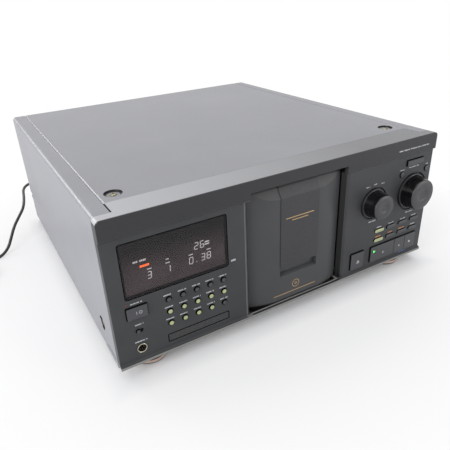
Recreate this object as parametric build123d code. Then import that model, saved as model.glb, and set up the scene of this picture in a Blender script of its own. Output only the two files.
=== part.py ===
"""Carousel disc changer of the 430 mm hi-fi width, with its shell, controls, table, player and mains cord.

Units are millimetres. X runs to the right seen from the front, Y to the rear, Z up. The origin is on the
surface that the feet stand on, under the middle of the changer. Depths are counted from the front panel's
face to the rear, and panel heights from the front panel's lower edge.
"""
from build123d import *
from math import atan2, cos, degrees, hypot, pi, radians, sin, sqrt, tan
import os

# ------------------------------------------------------------------ shell
body_width = 430.0
body_depth = 450.0  # front panel's face to the rear panel
panel_height = 166.0
panel_lift = 15.0  # floor to the front panel's lower edge
panel_corner = 5.0  # radius of the two top corners
panel_return = 12.0  # depth of the front panel's side and bottom walls
panel_shelf = 35.0  # depth of its top wall between the cover's ears
panel_wall = 2.5
field_recess = 3.0  # the field lies this far behind the band and the lip
band_height = 20.5  # proud band along the top
lip_height = 3.0
slope_run = 2.0  # height of the slopes that lead from band and lip to the field

sheet = 1.0  # steel of the cover, chassis and rear panel
cover_drop = 5.0  # the cover and the chassis end this far below the front panel
groove_inset = 19.0  # V grooves of the cover, from each side
groove_width = 2.4
groove_depth = 1.0
ear_gap = 1.6  # slot between the panel's shelf and each ear of the cover
joggle_height = 29.0  # the cover's sides step in below this height on the panel
joggle_step = 0.6
joggle_start = 54.0  # the step begins this far behind the face
side_slot = ((16.0, 43.0), (2.4, 4.6))  # depths and panel heights of the slot low on each side
rear_notch = (12.0, (33.0, 40.0))  # depth from the rear edge, and panel heights
dimple_radius = 9.0
dimple_depth = 1.8
dimple_inset = 34.0  # top dimples, from each side
dimple_depth_place = 53.0  # top dimples, behind the face
side_dimple_radius = 8.0
side_dimple_place = 50.0
side_dimple_height = 28.0
pan_flange = 12.0
pan_front_flange = 7.0  # panel height of the flange that the front panel is fixed to
bracket_thickness = 6.0
bracket_half = 6.0
fit_gap = 0.3  # clearance between parts that are set side by side
small_sides = 10  # flats that stand for a circle on buttons and other small round pieces
foot_sides = 20  # the same on the feet
turned_sides = 28  # the same on the dials
end_flats = 4  # flats round each end of a pill shape

foot_radius = 20.0
foot_inset = 39.0  # foot centres, from each side
front_foot_place = 28.0
rear_foot_inset = 42.0  # rear foot centres, from the rear panel
foot_ring_height = 6.0
foot_edge = 1.5
foot_shoulder = 4.0  # how much narrower the foot is where it meets the pan

# ------------------------------------------------------------------ doorway and door
door_centre = 5.5
doorway_half = 64.5
doorway_drop = 13.2  # panel's top edge to the doorway's
bevel_width = 6.0
bevel_depth = 7.0
tunnel_depth = 18.0
door_gap = 1.0
door_front = 2.5  # depth of the door's flat middle
door_flat_half = 27.0
door_side_radius = 80.0
door_back = 15.0
door_wall = 2.2
door_bottom = 6.0
facet_drop = 17.0  # the leaned-back facet begins this far below the doorway's top
facet_slope = 0.6  # run to the rear for each millimetre of rise
grip_half = 26.0
grip_thickness = 2.0
grip_proud = 0.8
grip_bottom = 50.7
hollow_bottom = 38.2
hollow_depth = 5.0
hinge_depth = 13.0
hinge_height = 14.0
hinge_pin_radius = 2.0
hinge_pin_length = 2.6

# ------------------------------------------------------------------ display and controls
# A place is (distance from the panel's nearer side, panel height), unless its comment says otherwise.
window_side_gap = 16.0  # panel's side to the window
window_door_gap = 19.5  # window to the wall beside the doorway
window_low_gap = 11.8  # top row of round buttons to the window
window_top_gap = 6.8  # window to the slope under the band
window_thickness = 1.5
window_ledge = 2.0
tube_insets = (5.0, 3.0, -4.7, 21.7)  # left, right, lower and upper edges, inside the window's
tube_depth = 5.0

board_depth = 12.2
board_thickness = 1.6
post_width = 4.0  # square posts that carry the boards
button_back = 9.9
button_gap = 0.35
skirt_margin = 1.2  # the skirt behind the panel is this much wider than the button
skirt_clearance = 0.2
key_chamfer = 0.4
button_face = 1.6  # depth of the round and pill buttons' faces
key_face = 0.8  # depth of the large keys' faces

round_columns = 5
round_rows = 3
round_pitch = (15.65, 14.45)
round_first = (58.6, 63.0)
round_radius = 2.9

power_place = (25.0, 61.6)
power_size = (21.0, 13.3)
timer_place = (24.8, 38.8)
timer_slot = (8.6, 4.8)
timer_knob = (3.2, 3.6)
timer_front = 1.4  # depth of the timer slider's face
timer_rest = -1.5  # the slider stands this far left of its slot's middle
socket_place = (24.7, 17.2)
socket_radius = 5.3
socket_bore = 4.4
socket_bore_depth = 7.0
socket_proud = 0.8
socket_body = 12.0

pill_columns = 4
pill_rows = 2
pill_pitch = (20.9, 13.4)
pill_first = (81.0, 52.7)
pill_size = (16.0, 4.6)
bar_place = (31.0, 32.4)  # the second value is the drop from the panel's top edge
bar_size = (28.0, 6.8)

big_dial_place = (29.2, 0.35)  # the second value is the rise above the middle between pills and bar
big_dial_well = 25.5
big_dial_flange = 23.2
big_dial_skirt = 21.6
big_dial_cap = 19.4
small_dial_place = (95.5, 0.55)  # as for the big dial
small_dial_well = 21.0
small_dial_flange = 18.9
small_dial_skirt = 17.4
small_dial_cap = 15.4
knob_reach = 19.0  # how far the dials stand out in front of the panel's face
dial_dimple = 0.7
dial_boss = 5.0
dial_lip = 1.2  # the flange stands this far out of the well
well_depth = 3.0
well_wall = 1.5
spot_places = ((21.2, 26.5), (-22.4, 26.8))  # from the big dial's centre
spot_radius = 3.6

open_door_gap = 12.0  # doorway's bevel to the open key
open_height = 20.0
open_size = (21.4, 22.6)
transport_open_gap = 12.2  # open key to play key
transport_side_gap = 11.6  # stop key to the panel's side; the play key fills what is left
transport_low = 9.6
transport_height = 21.4
transport_names = ("play_button", "pause_button", "stop_button")
pause_width = 18.6
stop_width = 20.4
transport_gap = 0.5

# ------------------------------------------------------------------ table and player
slot_count = 200
slot_width = 2.3
table_side_room = 16.0  # least room between the table and the cover's sides
table_front_room = 27.0  # the same to the front panel's face
table_rear_room = 25.0  # the same to the rear panel
table_rim = 3.0
table_floor = 2.5
table_floor_height = 33.0  # underside of the table, above the feet
fin_height = 26.0
table_bore = 72.0
gear_module = 3.125
ring_teeth = 48
pinion_teeth = 12
gear_height = 7.0
ring_wall = 12.0
gear_backlash = 0.35
running_gap = 0.05
rail_wall = 2.5
rail_sides = 40
pinion_angle = 90.0  # the motor stands straight behind the table's axis
motor_radius = 13.0
motor_shaft_radius = 2.0

disc_centre_height = 102.0
deck_half = 62.0
deck_height = 37.0
deck_thickness = 2.5
deck_post_half = 3.5
deck_post_place = 37.0
plate_thickness = 3.0
plate_front = 50.0  # both plates begin this far in front of the disc's axis
plate_top = 150.0
plate_tie = 6.0  # width and height of the tie across the plates' front edges
pick_plate_x = -4.5  # face of the pick-up plate towards the disc
clamp_plate_x = 9.0  # face of the clamp plate towards the disc
disc_face_x = -0.6  # the disc lies on the turntable here
spindle_radius = 14.0
spindle_hub_radius = 7.4
spindle_hub_height = 2.6
spindle_shaft_radius = 1.5
spindle_housing = 9.0  # half the height of the bearing housing
spindle_housing_depth = 6.0
turntable_gap = 0.9  # pick-up plate to the turntable
clamp_boss_radius = 12.0
clamp_clearance = 1.0
sled_size = (8.8, 16.0, 18.0)
sled_start = 17.0  # the sled's front end, behind the disc's axis
sled_travel = 32.0
sled_gap = 0.6
lens_radius = 4.0
lens_reach = 1.9
rod_radius = 1.5
rod_spread = 6.0
rod_block = 4.0  # thickness of the blocks at the rods' ends
rod_block_half = 10.0
arm_length = 72.0
arm_width = 12.0
arm_thickness = 3.0
arm_pivot_radius = 3.0
arm_pivot_height = 132.0
arm_swing = 25.0
arm_finger_radius = 3.0
arm_finger_end = -3.0  # the finger reaches across the disc's plane to here

# ------------------------------------------------------------------ electronics, rear and cord
main_board_size = (150.0, 30.0)
main_board_height = 12.0
main_board_insets = (4.0, 14.0)  # from the pan's right edge and from the rear panel
transformer_size = (58.0, 22.0, 42.0)
transformer_insets = (5.0, 6.0)  # from the pan's left edge and from the rear panel
winding_size = (32.0, 28.0, 26.0)
jack_reach = 9.0  # how far the rear jacks stand out behind the rear panel
phono_radius = 4.15
phono_bore = 1.7
phono_room = 1.2  # round each phono barrel, for the skirt of its plug
phono_pitch = 20.0
phono_first_x = 150.0
mini_radius = 4.0
mini_bore = 1.8
mini_bore_depth = 7.5
jack_height = 60.0
mini_gap = 6.0  # extra room between the phono pair and the mini jack
mini_reach = 2.0
jack_block = (18.0, 12.0, 18.0)

screw_shank = 1.6
screw_head = 3.4
screw_head_height = 1.4
screw_length = 9.0
screw_sides = 8

cord_diameter = 4.5
cord_sides = 6
cord_exit_x = -172.0
cord_exit_height = 52.0
relief_neck = 4.5
relief_head = 6.5
relief_collar = 3.0  # thickness of the collars that grip the rear panel
relief_length = 22.0
relief_tip = 3.2
cord_route = [  # from the strain relief down to the floor and away to the coil
    (-172, 252, 52),
    (-172, 269, 52),
    (-182, 282.5, 51.5),
    (-198, 288, 50.5),
    (-213.5, 283, 49.5),
    (-223.5, 268.5, 47.5),
    (-227, 240, 43.5),
    (-234, 210, 37.5),
    (-245, 193, 31),
    (-257, 177, 23),
    (-267, 153, 15),
    (-275, 136, 7.5),
    (-288, 124, 2.4),
    (-311, 115, 2.3),
    (-335.5, 115, 2.3),
]
coil_side = cord_diameter * sqrt(pi) / 2  # the coil's square section has the round cord's area
coil_half_turns = 14
coil_in_half_turns = 7  # half turns before the one in which the spiral reverses and climbs
coil_outer = 35.75  # radius of the first half turn
coil_step = 2.5  # the spiral's radius changes by this in each half turn
coil_climb = 5.2
coil_tail = 34.0
plug_body = (28.0, 20.0, 15.0)
plug_neck = (8.0, 9.0)  # side and length of the neck at the cord's end
blade_size = (17.0, 1.5, 6.3)
blade_spread = 6.35

# ------------------------------------------------------------------ worked out from the above
front_y = (knob_reach - jack_reach - body_depth) / 2
rear_y = front_y + body_depth
half_width = body_width / 2
panel_top = panel_lift + panel_height
pan_bottom = panel_lift - cover_drop
pan_top = pan_bottom + sheet
field = field_recess
field_back = field_recess + panel_wall
groove_x = half_width - groove_inset
shelf_half = groove_x - ear_gap / 2
table_radius = min(half_width - table_side_room, (body_depth - table_front_room - table_rear_room) / 2)
table_y = front_y + (table_front_room + body_depth - table_rear_room) / 2
table_top = table_floor_height + table_floor
fin_top = table_top + fin_height
deck_corner = deck_half - sqrt((table_bore - fit_gap) ** 2 - deck_half**2)
doorway_top = panel_height - doorway_drop
doorway_cheek = doorway_half + bevel_width + panel_wall  # middle of the doorway to the outside of its walls
facet_start = doorway_top - facet_drop
door_half = doorway_half - door_gap
door_top = doorway_top - door_gap
hinge_y = front_y + hinge_depth
hinge_z = panel_lift + hinge_height
disc_z = disc_centre_height
band_low = panel_height - band_height

parts = {}


# ------------------------------------------------------------------ helpers
def at(depth):
    """Y of a plane that lies this far behind the front panel's face."""
    return front_y + depth


def up(height):
    """Z of a height on the front panel."""
    return panel_lift + height


def block(x, y, z):
    """Box between three pairs of limits."""
    middle = [(pair[0] + pair[1]) / 2 for pair in (x, y, z)]
    return Pos(*middle) * Box(x[1] - x[0], y[1] - y[0], z[1] - z[0])


def face_plane(x, height, depth):
    """Plane parallel to the front panel, its normal towards the viewer."""
    return Plane(origin=(x, at(depth), up(height)), x_dir=(1, 0, 0), z_dir=(0, -1, 0))


def through(sketch, centre, front, back):
    """Extrudes a sketch between two depths at a place on the front panel."""
    return extrude(face_plane(centre[0], centre[1], back) * sketch, amount=back - front)


def many_sided(radius, sides):
    """Regular outline that stands for a circle on small turned pieces, with its flats at the radius."""
    return RegularPolygon(radius / cos(pi / sides), sides)


def stud(centre, radius, front, back):
    """Small round piece or hole between two depths, square to the front panel."""
    return through(many_sided(radius, small_sides), centre, front, back)


def turned(plane, sides, *stations):
    """Turned piece with flat facets, through (height, radius) stations along the plane's normal."""
    rings = []
    for height, radius in stations:
        corner = radius / cos(pi / sides)
        angles = [2 * pi * (index + 0.5) / sides for index in range(sides)]
        rings.append([plane.from_local_coords((corner * cos(a), corner * sin(a), height)) for a in angles])
    return facetted(rings)


def facetted(rings):
    """Solid with flat sides between rings of corner points, closed by a face at each end."""
    faces = [Face(Wire.make_polygon(rings[0])), Face(Wire.make_polygon(rings[-1]))]
    for low, high in zip(rings, rings[1:]):
        for index in range(len(low)):
            after = (index + 1) % len(low)
            faces.append(Face(Wire.make_polygon([low[index], low[after], high[after], high[index]])))
    return Solid(Shell(faces))


def stadium(size):
    """Rectangle with rounded ends, each end drawn with a few flats."""
    half = size[1] / 2
    reach = size[0] / 2 - half
    points = []
    for side, start in ((1, -90), (-1, 90)):
        for step in range(end_flats + 1):
            angle = radians(start + 180 * step / end_flats)
            points.append((side * reach + half * cos(angle), half * sin(angle)))
    return make_face(Polyline(*points, close=True))


def side_profile(points, x0, x1):
    """Polygon of (depth, panel height) points, extruded along X."""
    outline = Polyline(*[(0, at(depth), up(height)) for depth, height in points], close=True)
    return Pos(x0, 0, 0) * extrude(make_face(outline), amount=x1 - x0, dir=(1, 0, 0))


def plan_profile(edges, z0, z1):
    """Closed outline in the XY plane, extruded between two heights."""
    return Pos(0, 0, z0) * extrude(make_face(edges), amount=z1 - z0, dir=(0, 0, 1))


def x_rod(x0, x1, y, z, radius):
    """Cylinder along X."""
    return Pos((x0 + x1) / 2, y, z) * Rot(0, 90, 0) * Cylinder(radius, x1 - x0)


def y_rod(y0, y1, x, z, radius):
    """Cylinder along Y."""
    return Pos(x, (y0 + y1) / 2, z) * Rot(90, 0, 0) * Cylinder(radius, y1 - y0)


def z_rod(z0, z1, x, y, radius):
    """Cylinder along Z."""
    return Pos(x, y, (z0 + z1) / 2) * Cylinder(radius, z1 - z0)


def y_plane(x, y, z):
    """Plane at a place with its normal to the rear."""
    return Plane(origin=(x, y, z), x_dir=(1, 0, 0), z_dir=(0, 1, 0))


def x_plane(x, y, z):
    """Plane at a place with its normal to the right."""
    return Plane(origin=(x, y, z), x_dir=(0, 1, 0), z_dir=(1, 0, 0))


# ------------------------------------------------------------------ layout of the controls
def from_left(place):
    """(x, panel height) of a place that is counted from the panel's left side."""
    return (place[0] - half_width, place[1])


def from_right(place):
    """(x, panel height) of a place that is counted from the panel's right side."""
    return (half_width - place[0], place[1])


def grid(first, pitch, columns, rows):
    """Centres of a block of buttons, row by row from the top."""
    return [
        (first[0] + column * pitch[0], first[1] - row * pitch[1])
        for row in range(rows)
        for column in range(columns)
    ]


def middle_and_size(left, right, low, high):
    """Centre and size of a rectangle between four edges."""
    return ((left + right) / 2, (low + high) / 2), (right - left, high - low)


round_places = grid(from_left(round_first), round_pitch, round_columns, round_rows)
power_centre = from_left(power_place)
timer_centre = from_left(timer_place)
socket_centre = from_left(socket_place)
window_edges = (
    window_side_gap - half_width,
    door_centre - doorway_cheek - window_door_gap,
    round_first[1] + round_radius + window_low_gap,
    band_low - slope_run - window_top_gap,
)
window_centre, window_size = middle_and_size(*window_edges)
tube_centre, tube_size = middle_and_size(
    window_edges[0] + tube_insets[0],
    window_edges[1] - tube_insets[1],
    window_edges[2] + tube_insets[2],
    window_edges[3] - tube_insets[3],
)

pill_places = grid(from_right(pill_first), pill_pitch, pill_columns, pill_rows)
bar_centre = from_right((bar_place[0], panel_height - bar_place[1]))
dial_middle = (pill_first[1] + bar_centre[1]) / 2
big_dial_centre = from_right((big_dial_place[0], dial_middle + big_dial_place[1]))
small_dial_centre = from_right((small_dial_place[0], dial_middle + small_dial_place[1]))
spot_centres = [(big_dial_centre[0] + x, big_dial_centre[1] + z) for x, z in spot_places]

open_left = door_centre + doorway_half + bevel_width + open_door_gap
open_centre = (open_left + open_size[0] / 2, open_height)
transport_left = open_left + open_size[0] + transport_open_gap
transport_right = half_width - transport_side_gap
play_width = transport_right - transport_left - pause_width - stop_width - 2 * transport_gap
transport_widths = (play_width, pause_width, stop_width)
transport_centre, transport_size = middle_and_size(
    transport_left, transport_right, transport_low, transport_low + transport_height
)
transport_places = [
    (transport_left + sum(transport_widths[:index]) + index * transport_gap + width / 2, transport_centre[1])
    for index, width in enumerate(transport_widths)
]


# ------------------------------------------------------------------ front panel
def door_front_curve(offset, half, low_depth):
    """Plan outline of the door: flat middle, sides curving back, straight flanks to the rear."""
    radius = door_side_radius - offset
    reach = half - door_flat_half
    drop = radius - sqrt(radius**2 - reach**2)
    tilt = atan2(reach, radius - drop) / 2
    front = door_front + offset
    middle_x = door_flat_half + radius * sin(tilt)
    middle_depth = front + radius * (1 - cos(tilt))

    def spot(x, depth):
        return (door_centre + x, at(depth))

    return [
        Line(spot(-door_flat_half, front), spot(door_flat_half, front)),
        ThreePointArc(
            spot(door_flat_half, front), spot(middle_x, middle_depth), spot(half, front + drop)
        ),
        Line(spot(half, front + drop), spot(half, low_depth)),
        Line(spot(half, low_depth), spot(-half, low_depth)),
        Line(spot(-half, low_depth), spot(-half, front + drop)),
        ThreePointArc(
            spot(-half, front + drop), spot(-middle_x, middle_depth), spot(-door_flat_half, front)
        ),
    ]


def make_front_panel():
    """Black moulding: proud band and lip, recessed field, bevelled doorway, wells and button holes."""
    outline = Rectangle(body_width, panel_height)
    top_corners = outline.vertices().group_by(Axis.Y)[-1]
    outline = fillet(top_corners, panel_corner)
    inner = offset(outline, -panel_wall)
    middle = (0, panel_height / 2)
    panel = through(outline, middle, 0, panel_return)
    panel -= through(inner, middle, field_back, panel_return + 1)
    shelf = (panel_top - panel_wall, panel_top)
    panel += block((-shelf_half, shelf_half), (at(field_back), at(panel_shelf)), shelf)
    recess = [
        (-1, band_low),
        (0, band_low),
        (field, band_low - slope_run),
        (field, lip_height + slope_run),
        (0, lip_height),
        (-1, lip_height),
    ]
    panel -= side_profile(recess, -half_width - 1, half_width + 1)
    # the band is hollow behind its face, like the field
    panel -= block(
        (-half_width + panel_wall, half_width - panel_wall),
        (at(panel_wall), at(field_back + 1)),
        (up(band_low + panel_wall), up(panel_height - panel_wall - panel_corner)),
    )

    # doorway: tunnel walls, opening and the two bevels
    tunnel = block(
        (door_centre - doorway_cheek, door_centre + doorway_cheek),
        (at(field), at(tunnel_depth)),
        (up(0), up(doorway_top + panel_wall)),
    )
    tunnel -= block(
        (door_centre - doorway_cheek, door_centre + doorway_cheek),
        (at(-1), at(panel_wall)),
        (up(0), up(panel_height)),
    )
    panel += tunnel
    panel -= block(
        (door_centre - doorway_half, door_centre + doorway_half),
        (at(-1), at(tunnel_depth + 1)),
        (up(lip_height), up(doorway_top)),
    )
    panel -= block(
        (door_centre - doorway_half, door_centre + doorway_half),
        (at(field + fit_gap), at(tunnel_depth + 1)),
        (up(-1), up(lip_height + 1)),
    )
    for side in (-1, 1):
        wedge = Polyline(
            (door_centre + side * (doorway_half - 1), at(field - 1)),
            (door_centre + side * (doorway_half + bevel_width), at(field - 1)),
            (door_centre + side * (doorway_half + bevel_width), at(field)),
            (door_centre + side * doorway_half, at(field + bevel_depth)),
            (door_centre + side * (doorway_half - 1), at(field + bevel_depth)),
            close=True,
        )
        panel -= plan_profile(wedge, up(lip_height), up(band_low - slope_run))
        pin_x = door_centre + side * doorway_half
        reach = hinge_pin_length + door_gap
        panel -= x_rod(min(pin_x, pin_x + side * reach), max(pin_x, pin_x + side * reach),
                       hinge_y, hinge_z, hinge_pin_radius + running_gap)

    # window rebate with its ledge
    pane = (window_size[0] + 2 * fit_gap, window_size[1] + 2 * fit_gap)
    sight = (window_size[0] - 2 * window_ledge, window_size[1] - 2 * window_ledge)
    panel -= through(Rectangle(*pane), window_centre, field - 1, field + window_thickness)
    panel -= through(Rectangle(*sight), window_centre, field, field_back + 1)

    # buttons and keys
    holes = [stud(place, round_radius + button_gap, field - 1, field_back + 1) for place in round_places]
    holes += [stud(place, spot_radius + button_gap, field - 1, field_back + 1) for place in spot_centres]
    pill_hole = stadium((pill_size[0] + 2 * button_gap, pill_size[1] + 2 * button_gap))
    holes += [through(pill_hole, place, field - 1, field_back + 1) for place in pill_places]
    panel -= holes
    for centre, size in (
        (power_centre, power_size),
        (open_centre, open_size),
        (bar_centre, bar_size),
        (transport_centre, transport_size),
    ):
        hole = Rectangle(size[0] + 2 * button_gap, size[1] + 2 * button_gap)
        panel -= through(hole, centre, field - 1, field_back + 1)
    panel -= through(stadium(timer_slot), timer_centre, field - 1, field_back + 1)
    panel -= stud(socket_centre, socket_radius, field - 1, field_back + 1)

    # dial wells, each a cup behind the field
    for centre, well in ((big_dial_centre, big_dial_well), (small_dial_centre, small_dial_well)):
        cup = many_sided(well + well_wall, turned_sides)
        panel += through(cup, centre, field + 0.5, field + well_depth + panel_wall)
        panel -= through(many_sided(well, turned_sides), centre, field - 1, field + well_depth)
        panel -= stud(centre, dial_boss + button_gap, field, field_back + well_depth + 1)

    # posts that carry the two control boards
    for x, height in board_posts:
        panel += through(Rectangle(post_width, post_width), (x, height), field_back - 0.5, board_depth)
    return panel


board_limits = {  # left, right, lower and upper edges of the two control boards
    "left": (-half_width + 12.0, door_centre - doorway_half - 20.0, 12.0, band_low),
    "right": (door_centre + doorway_half + 13.0, half_width - 8.0, pan_front_flange + 1, band_low + 1),
}
board_posts = [
    (board_limits["left"][0] + 6.0, round_first[1] + 11.0),
    (board_limits["left"][1] - 6.0, round_first[1] + 11.0),
    (board_limits["left"][1] - 6.0, 27.0),
    (board_limits["right"][0] + 6.0, 60.0),
    (board_limits["right"][0] + 6.0, board_limits["right"][3] - 16.5),
    (board_limits["right"][1] - 5.0, 60.0),
]


def make_boards():
    """Two control boards behind the front panel, one each side of the doorway."""
    depths = (at(board_depth), at(board_depth + board_thickness))
    return [
        block((left, right), depths, (up(low), up(high))) for left, right, low, high in board_limits.values()
    ]


# ------------------------------------------------------------------ cover, chassis, rear
def cover_outline(inset, joggle):
    """Closed section of the cover's outer skin, set in by a thickness, open side down."""
    top = panel_top - inset
    side = half_width - inset
    low = pan_bottom - (1 if inset else 0)
    corner = panel_corner - inset
    bend = corner * (1 - sin(radians(45)))
    half_groove = groove_width / 2
    edges = []
    feet = []
    for sign in (-1, 1):
        points = [
            (sign * (groove_x - half_groove), top),
            (sign * groove_x, top - groove_depth),
            (sign * (groove_x + half_groove), top),
            (sign * (side - corner), top),
        ]
        edges.append(Polyline(*points))
        flank = [(sign * side, top - corner)]
        edges.append(ThreePointArc(points[-1], (sign * (side - bend), top - bend), flank[0]))
        if joggle:
            flank.append((sign * side, up(joggle_height)))
            flank.append((sign * (side - joggle_step), up(joggle_height) - joggle_step))
        flank.append((flank[-1][0], low))
        edges.append(Polyline(*flank))
        feet.append(flank[-1])
    edges.append(Line((groove_x - half_groove, top), (half_groove - groove_x, top)))
    edges.append(Line(*feet))
    return edges


def cover_solid(inset, start, end):
    """The cover's section between two depths, with the step in its sides from joggle_start on."""
    spans = [(start, joggle_start, False), (joggle_start, end, True)]
    if inset:  # inside, the step begins a wall's thickness later, so that the skin stays whole
        spans = [(start, joggle_start - sheet, False), (joggle_start - sheet, end, True)]
    solid = None
    for low, high, joggle in spans:
        plane = Plane(origin=(0, at(high), 0), x_dir=(1, 0, 0), z_dir=(0, -1, 0))
        span = extrude(plane * make_face(cover_outline(inset, joggle)), amount=high - low)
        solid = span if solid is None else solid + span
    return solid


def dimple_planes():
    """Planes of the four dimples, with their normals outwards: two on top and one on each side."""
    planes = []
    for side in (-1, 1):
        top = (side * (half_width - dimple_inset), at(dimple_depth_place), panel_top)
        flank = (side * half_width, at(side_dimple_place), up(side_dimple_height))
        planes.append((Plane(origin=top, z_dir=(0, 0, 1)), dimple_radius))
        planes.append((Plane(origin=flank, z_dir=(side, 0, 0)), side_dimple_radius))
    return planes


def make_top_cover():
    """One U of sheet steel: V grooves, stepped sides, screw dimples, and ears beside the panel's shelf."""
    start = panel_return + fit_gap
    cover = cover_solid(0, start, body_depth)
    cover -= cover_solid(sheet, start - 1, body_depth + 1)
    cover -= block(
        (-shelf_half - ear_gap, shelf_half + ear_gap),
        (at(start - 1), at(panel_shelf + fit_gap)),
        (panel_top - 2 * sheet - groove_depth, panel_top + 1),
    )
    for plane, radius in dimple_planes():
        cup = plane.offset(-dimple_depth - sheet) * many_sided(radius + sheet, foot_sides)
        cover += extrude(cup, amount=dimple_depth)
        hollow = plane.offset(-dimple_depth) * many_sided(radius, foot_sides)
        cover -= extrude(hollow, amount=dimple_depth + 1)
        hole = plane * many_sided(screw_shank + fit_gap, screw_sides)
        cover -= extrude(hole, amount=-(dimple_depth + 2 * sheet))
    notch_depth, notch_heights = rear_notch
    rear = (body_depth - notch_depth, body_depth + 1)
    for side in (-1, 1):
        flank = sorted((side * (half_width - 4), side * (half_width + 1)))
        for depths, heights in (side_slot, (rear, notch_heights)):
            cover -= block(flank, [at(depth) for depth in depths], [up(height) for height in heights])
    return cover


def make_case_screws():
    """Four case screws seated in the cover's dimples."""
    screws = []
    for plane, _ in dimple_planes():
        floor = plane.offset(-dimple_depth)
        screw = extrude(floor * many_sided(screw_head, screw_sides), amount=screw_head_height)
        screw += extrude(floor * many_sided(screw_shank, 6), amount=-screw_length)
        screws.append(screw)
    return screws


pan_half = half_width - joggle_step - sheet - fit_gap
rail_inner = gear_module * ring_teeth / 2 + ring_wall + running_gap


def foot_places():
    """Centres of the four feet."""
    return [
        (side * (half_width - foot_inset), at(place))
        for place in (front_foot_place, body_depth - rear_foot_inset)
        for side in (-1, 1)
    ]


def make_chassis():
    """Steel pan with turned-up edges, the table's bearing rail and the brackets for the side screws."""
    front = at(panel_return)
    back = rear_y - sheet
    pan = block((-pan_half, pan_half), (front, back), (pan_bottom, pan_top))
    pan += block((-pan_half, pan_half), (back - sheet, back), (pan_bottom, pan_bottom + pan_flange))
    for side in (-1, 1):
        edge = sorted((side * pan_half, side * (pan_half - sheet)))
        pan += block(edge, (front, back), (pan_bottom, pan_bottom + pan_flange))
        flange = sorted((side * pan_half, door_centre + side * (doorway_cheek + fit_gap)))
        pan += block(flange, (front, front + sheet), (pan_bottom, up(pan_front_flange)))
        outer = half_width - dimple_depth - sheet - fit_gap
        bracket = block(
            sorted((side * outer, side * (outer - bracket_thickness))),
            (at(side_dimple_place) - bracket_half, at(side_dimple_place) + bracket_half),
            (pan_bottom, up(side_dimple_height) + bracket_half),
        )
        hole = x_plane(side * outer, at(side_dimple_place), up(side_dimple_height))
        bracket -= extrude(hole * many_sided(screw_shank + fit_gap, 6), amount=screw_length, both=True)
        pan += bracket
    outer = Plane(origin=(0, table_y, pan_bottom)) * many_sided(rail_inner + rail_wall, rail_sides)
    rail = extrude(outer, amount=table_floor_height - fit_gap - pan_bottom)
    rail -= z_rod(pan_top, table_floor_height + 1, 0, table_y, rail_inner)
    return pan + rail


def make_rear_panel():
    """Steel rear panel with openings for the jacks and the cord."""
    low = pan_bottom + fit_gap
    high = panel_top - sheet - groove_depth - fit_gap
    panel = block((-pan_half, pan_half), (rear_y - sheet, rear_y), (low, high))
    panel = chamfer(panel.edges().filter_by(Axis.Y).group_by(Axis.Z)[-1], panel_corner / 2)
    round_holes = [(x, jack_height, phono_radius + phono_room) for x in phono_places]
    round_holes += [(x, jack_height, mini_radius + fit_gap) for x in mini_places]
    round_holes.append((cord_exit_x, cord_exit_height, relief_neck + fit_gap))
    for x, z, radius in round_holes:
        panel -= extrude(y_plane(x, rear_y, z) * many_sided(radius, small_sides), amount=-2 * sheet)
    return panel


phono_places = [phono_first_x, phono_first_x - phono_pitch]
mini_places = [phono_first_x - 2 * phono_pitch - mini_gap]


def make_rear_jacks():
    """Phono and mini jacks on their shared blocks, standing out behind the rear panel."""
    back = rear_y - sheet
    width, depth, height = jack_block
    jacks = []
    for places in (phono_places, mini_places):
        jacks.append(
            block(
                (places[-1] - width / 2, places[0] + width / 2),
                (back - depth, back),
                (jack_height - height / 2, jack_height + height / 2),
            )
        )
    for x in phono_places:
        jacks[0] += y_rod(back - 1, rear_y + jack_reach, x, jack_height, phono_radius)
        mouth = y_plane(x, rear_y + jack_reach, jack_height)
        jacks[0] -= extrude(mouth * many_sided(phono_bore, screw_sides), amount=-jack_reach)
    for x in mini_places:
        barrel = y_plane(x, back, jack_height) * many_sided(mini_radius, small_sides)
        jacks[1] += extrude(barrel, amount=sheet + mini_reach)
        bore_end = rear_y + mini_reach - mini_bore_depth
        jacks[1] -= y_rod(bore_end, rear_y + mini_reach + 1, x, jack_height, mini_bore)
    return jacks


def make_feet():
    """Round feet with a stepped ring, screwed under the chassis pan."""
    stations = [
        (0, foot_radius - 2 * foot_edge),
        (foot_edge, foot_radius - foot_edge / 3),
        (foot_ring_height, foot_radius),
        (pan_bottom, foot_radius - foot_shoulder),
    ]
    return [turned(Plane(origin=(x, y, 0)), foot_sides, *stations) for x, y in foot_places()]


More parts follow.
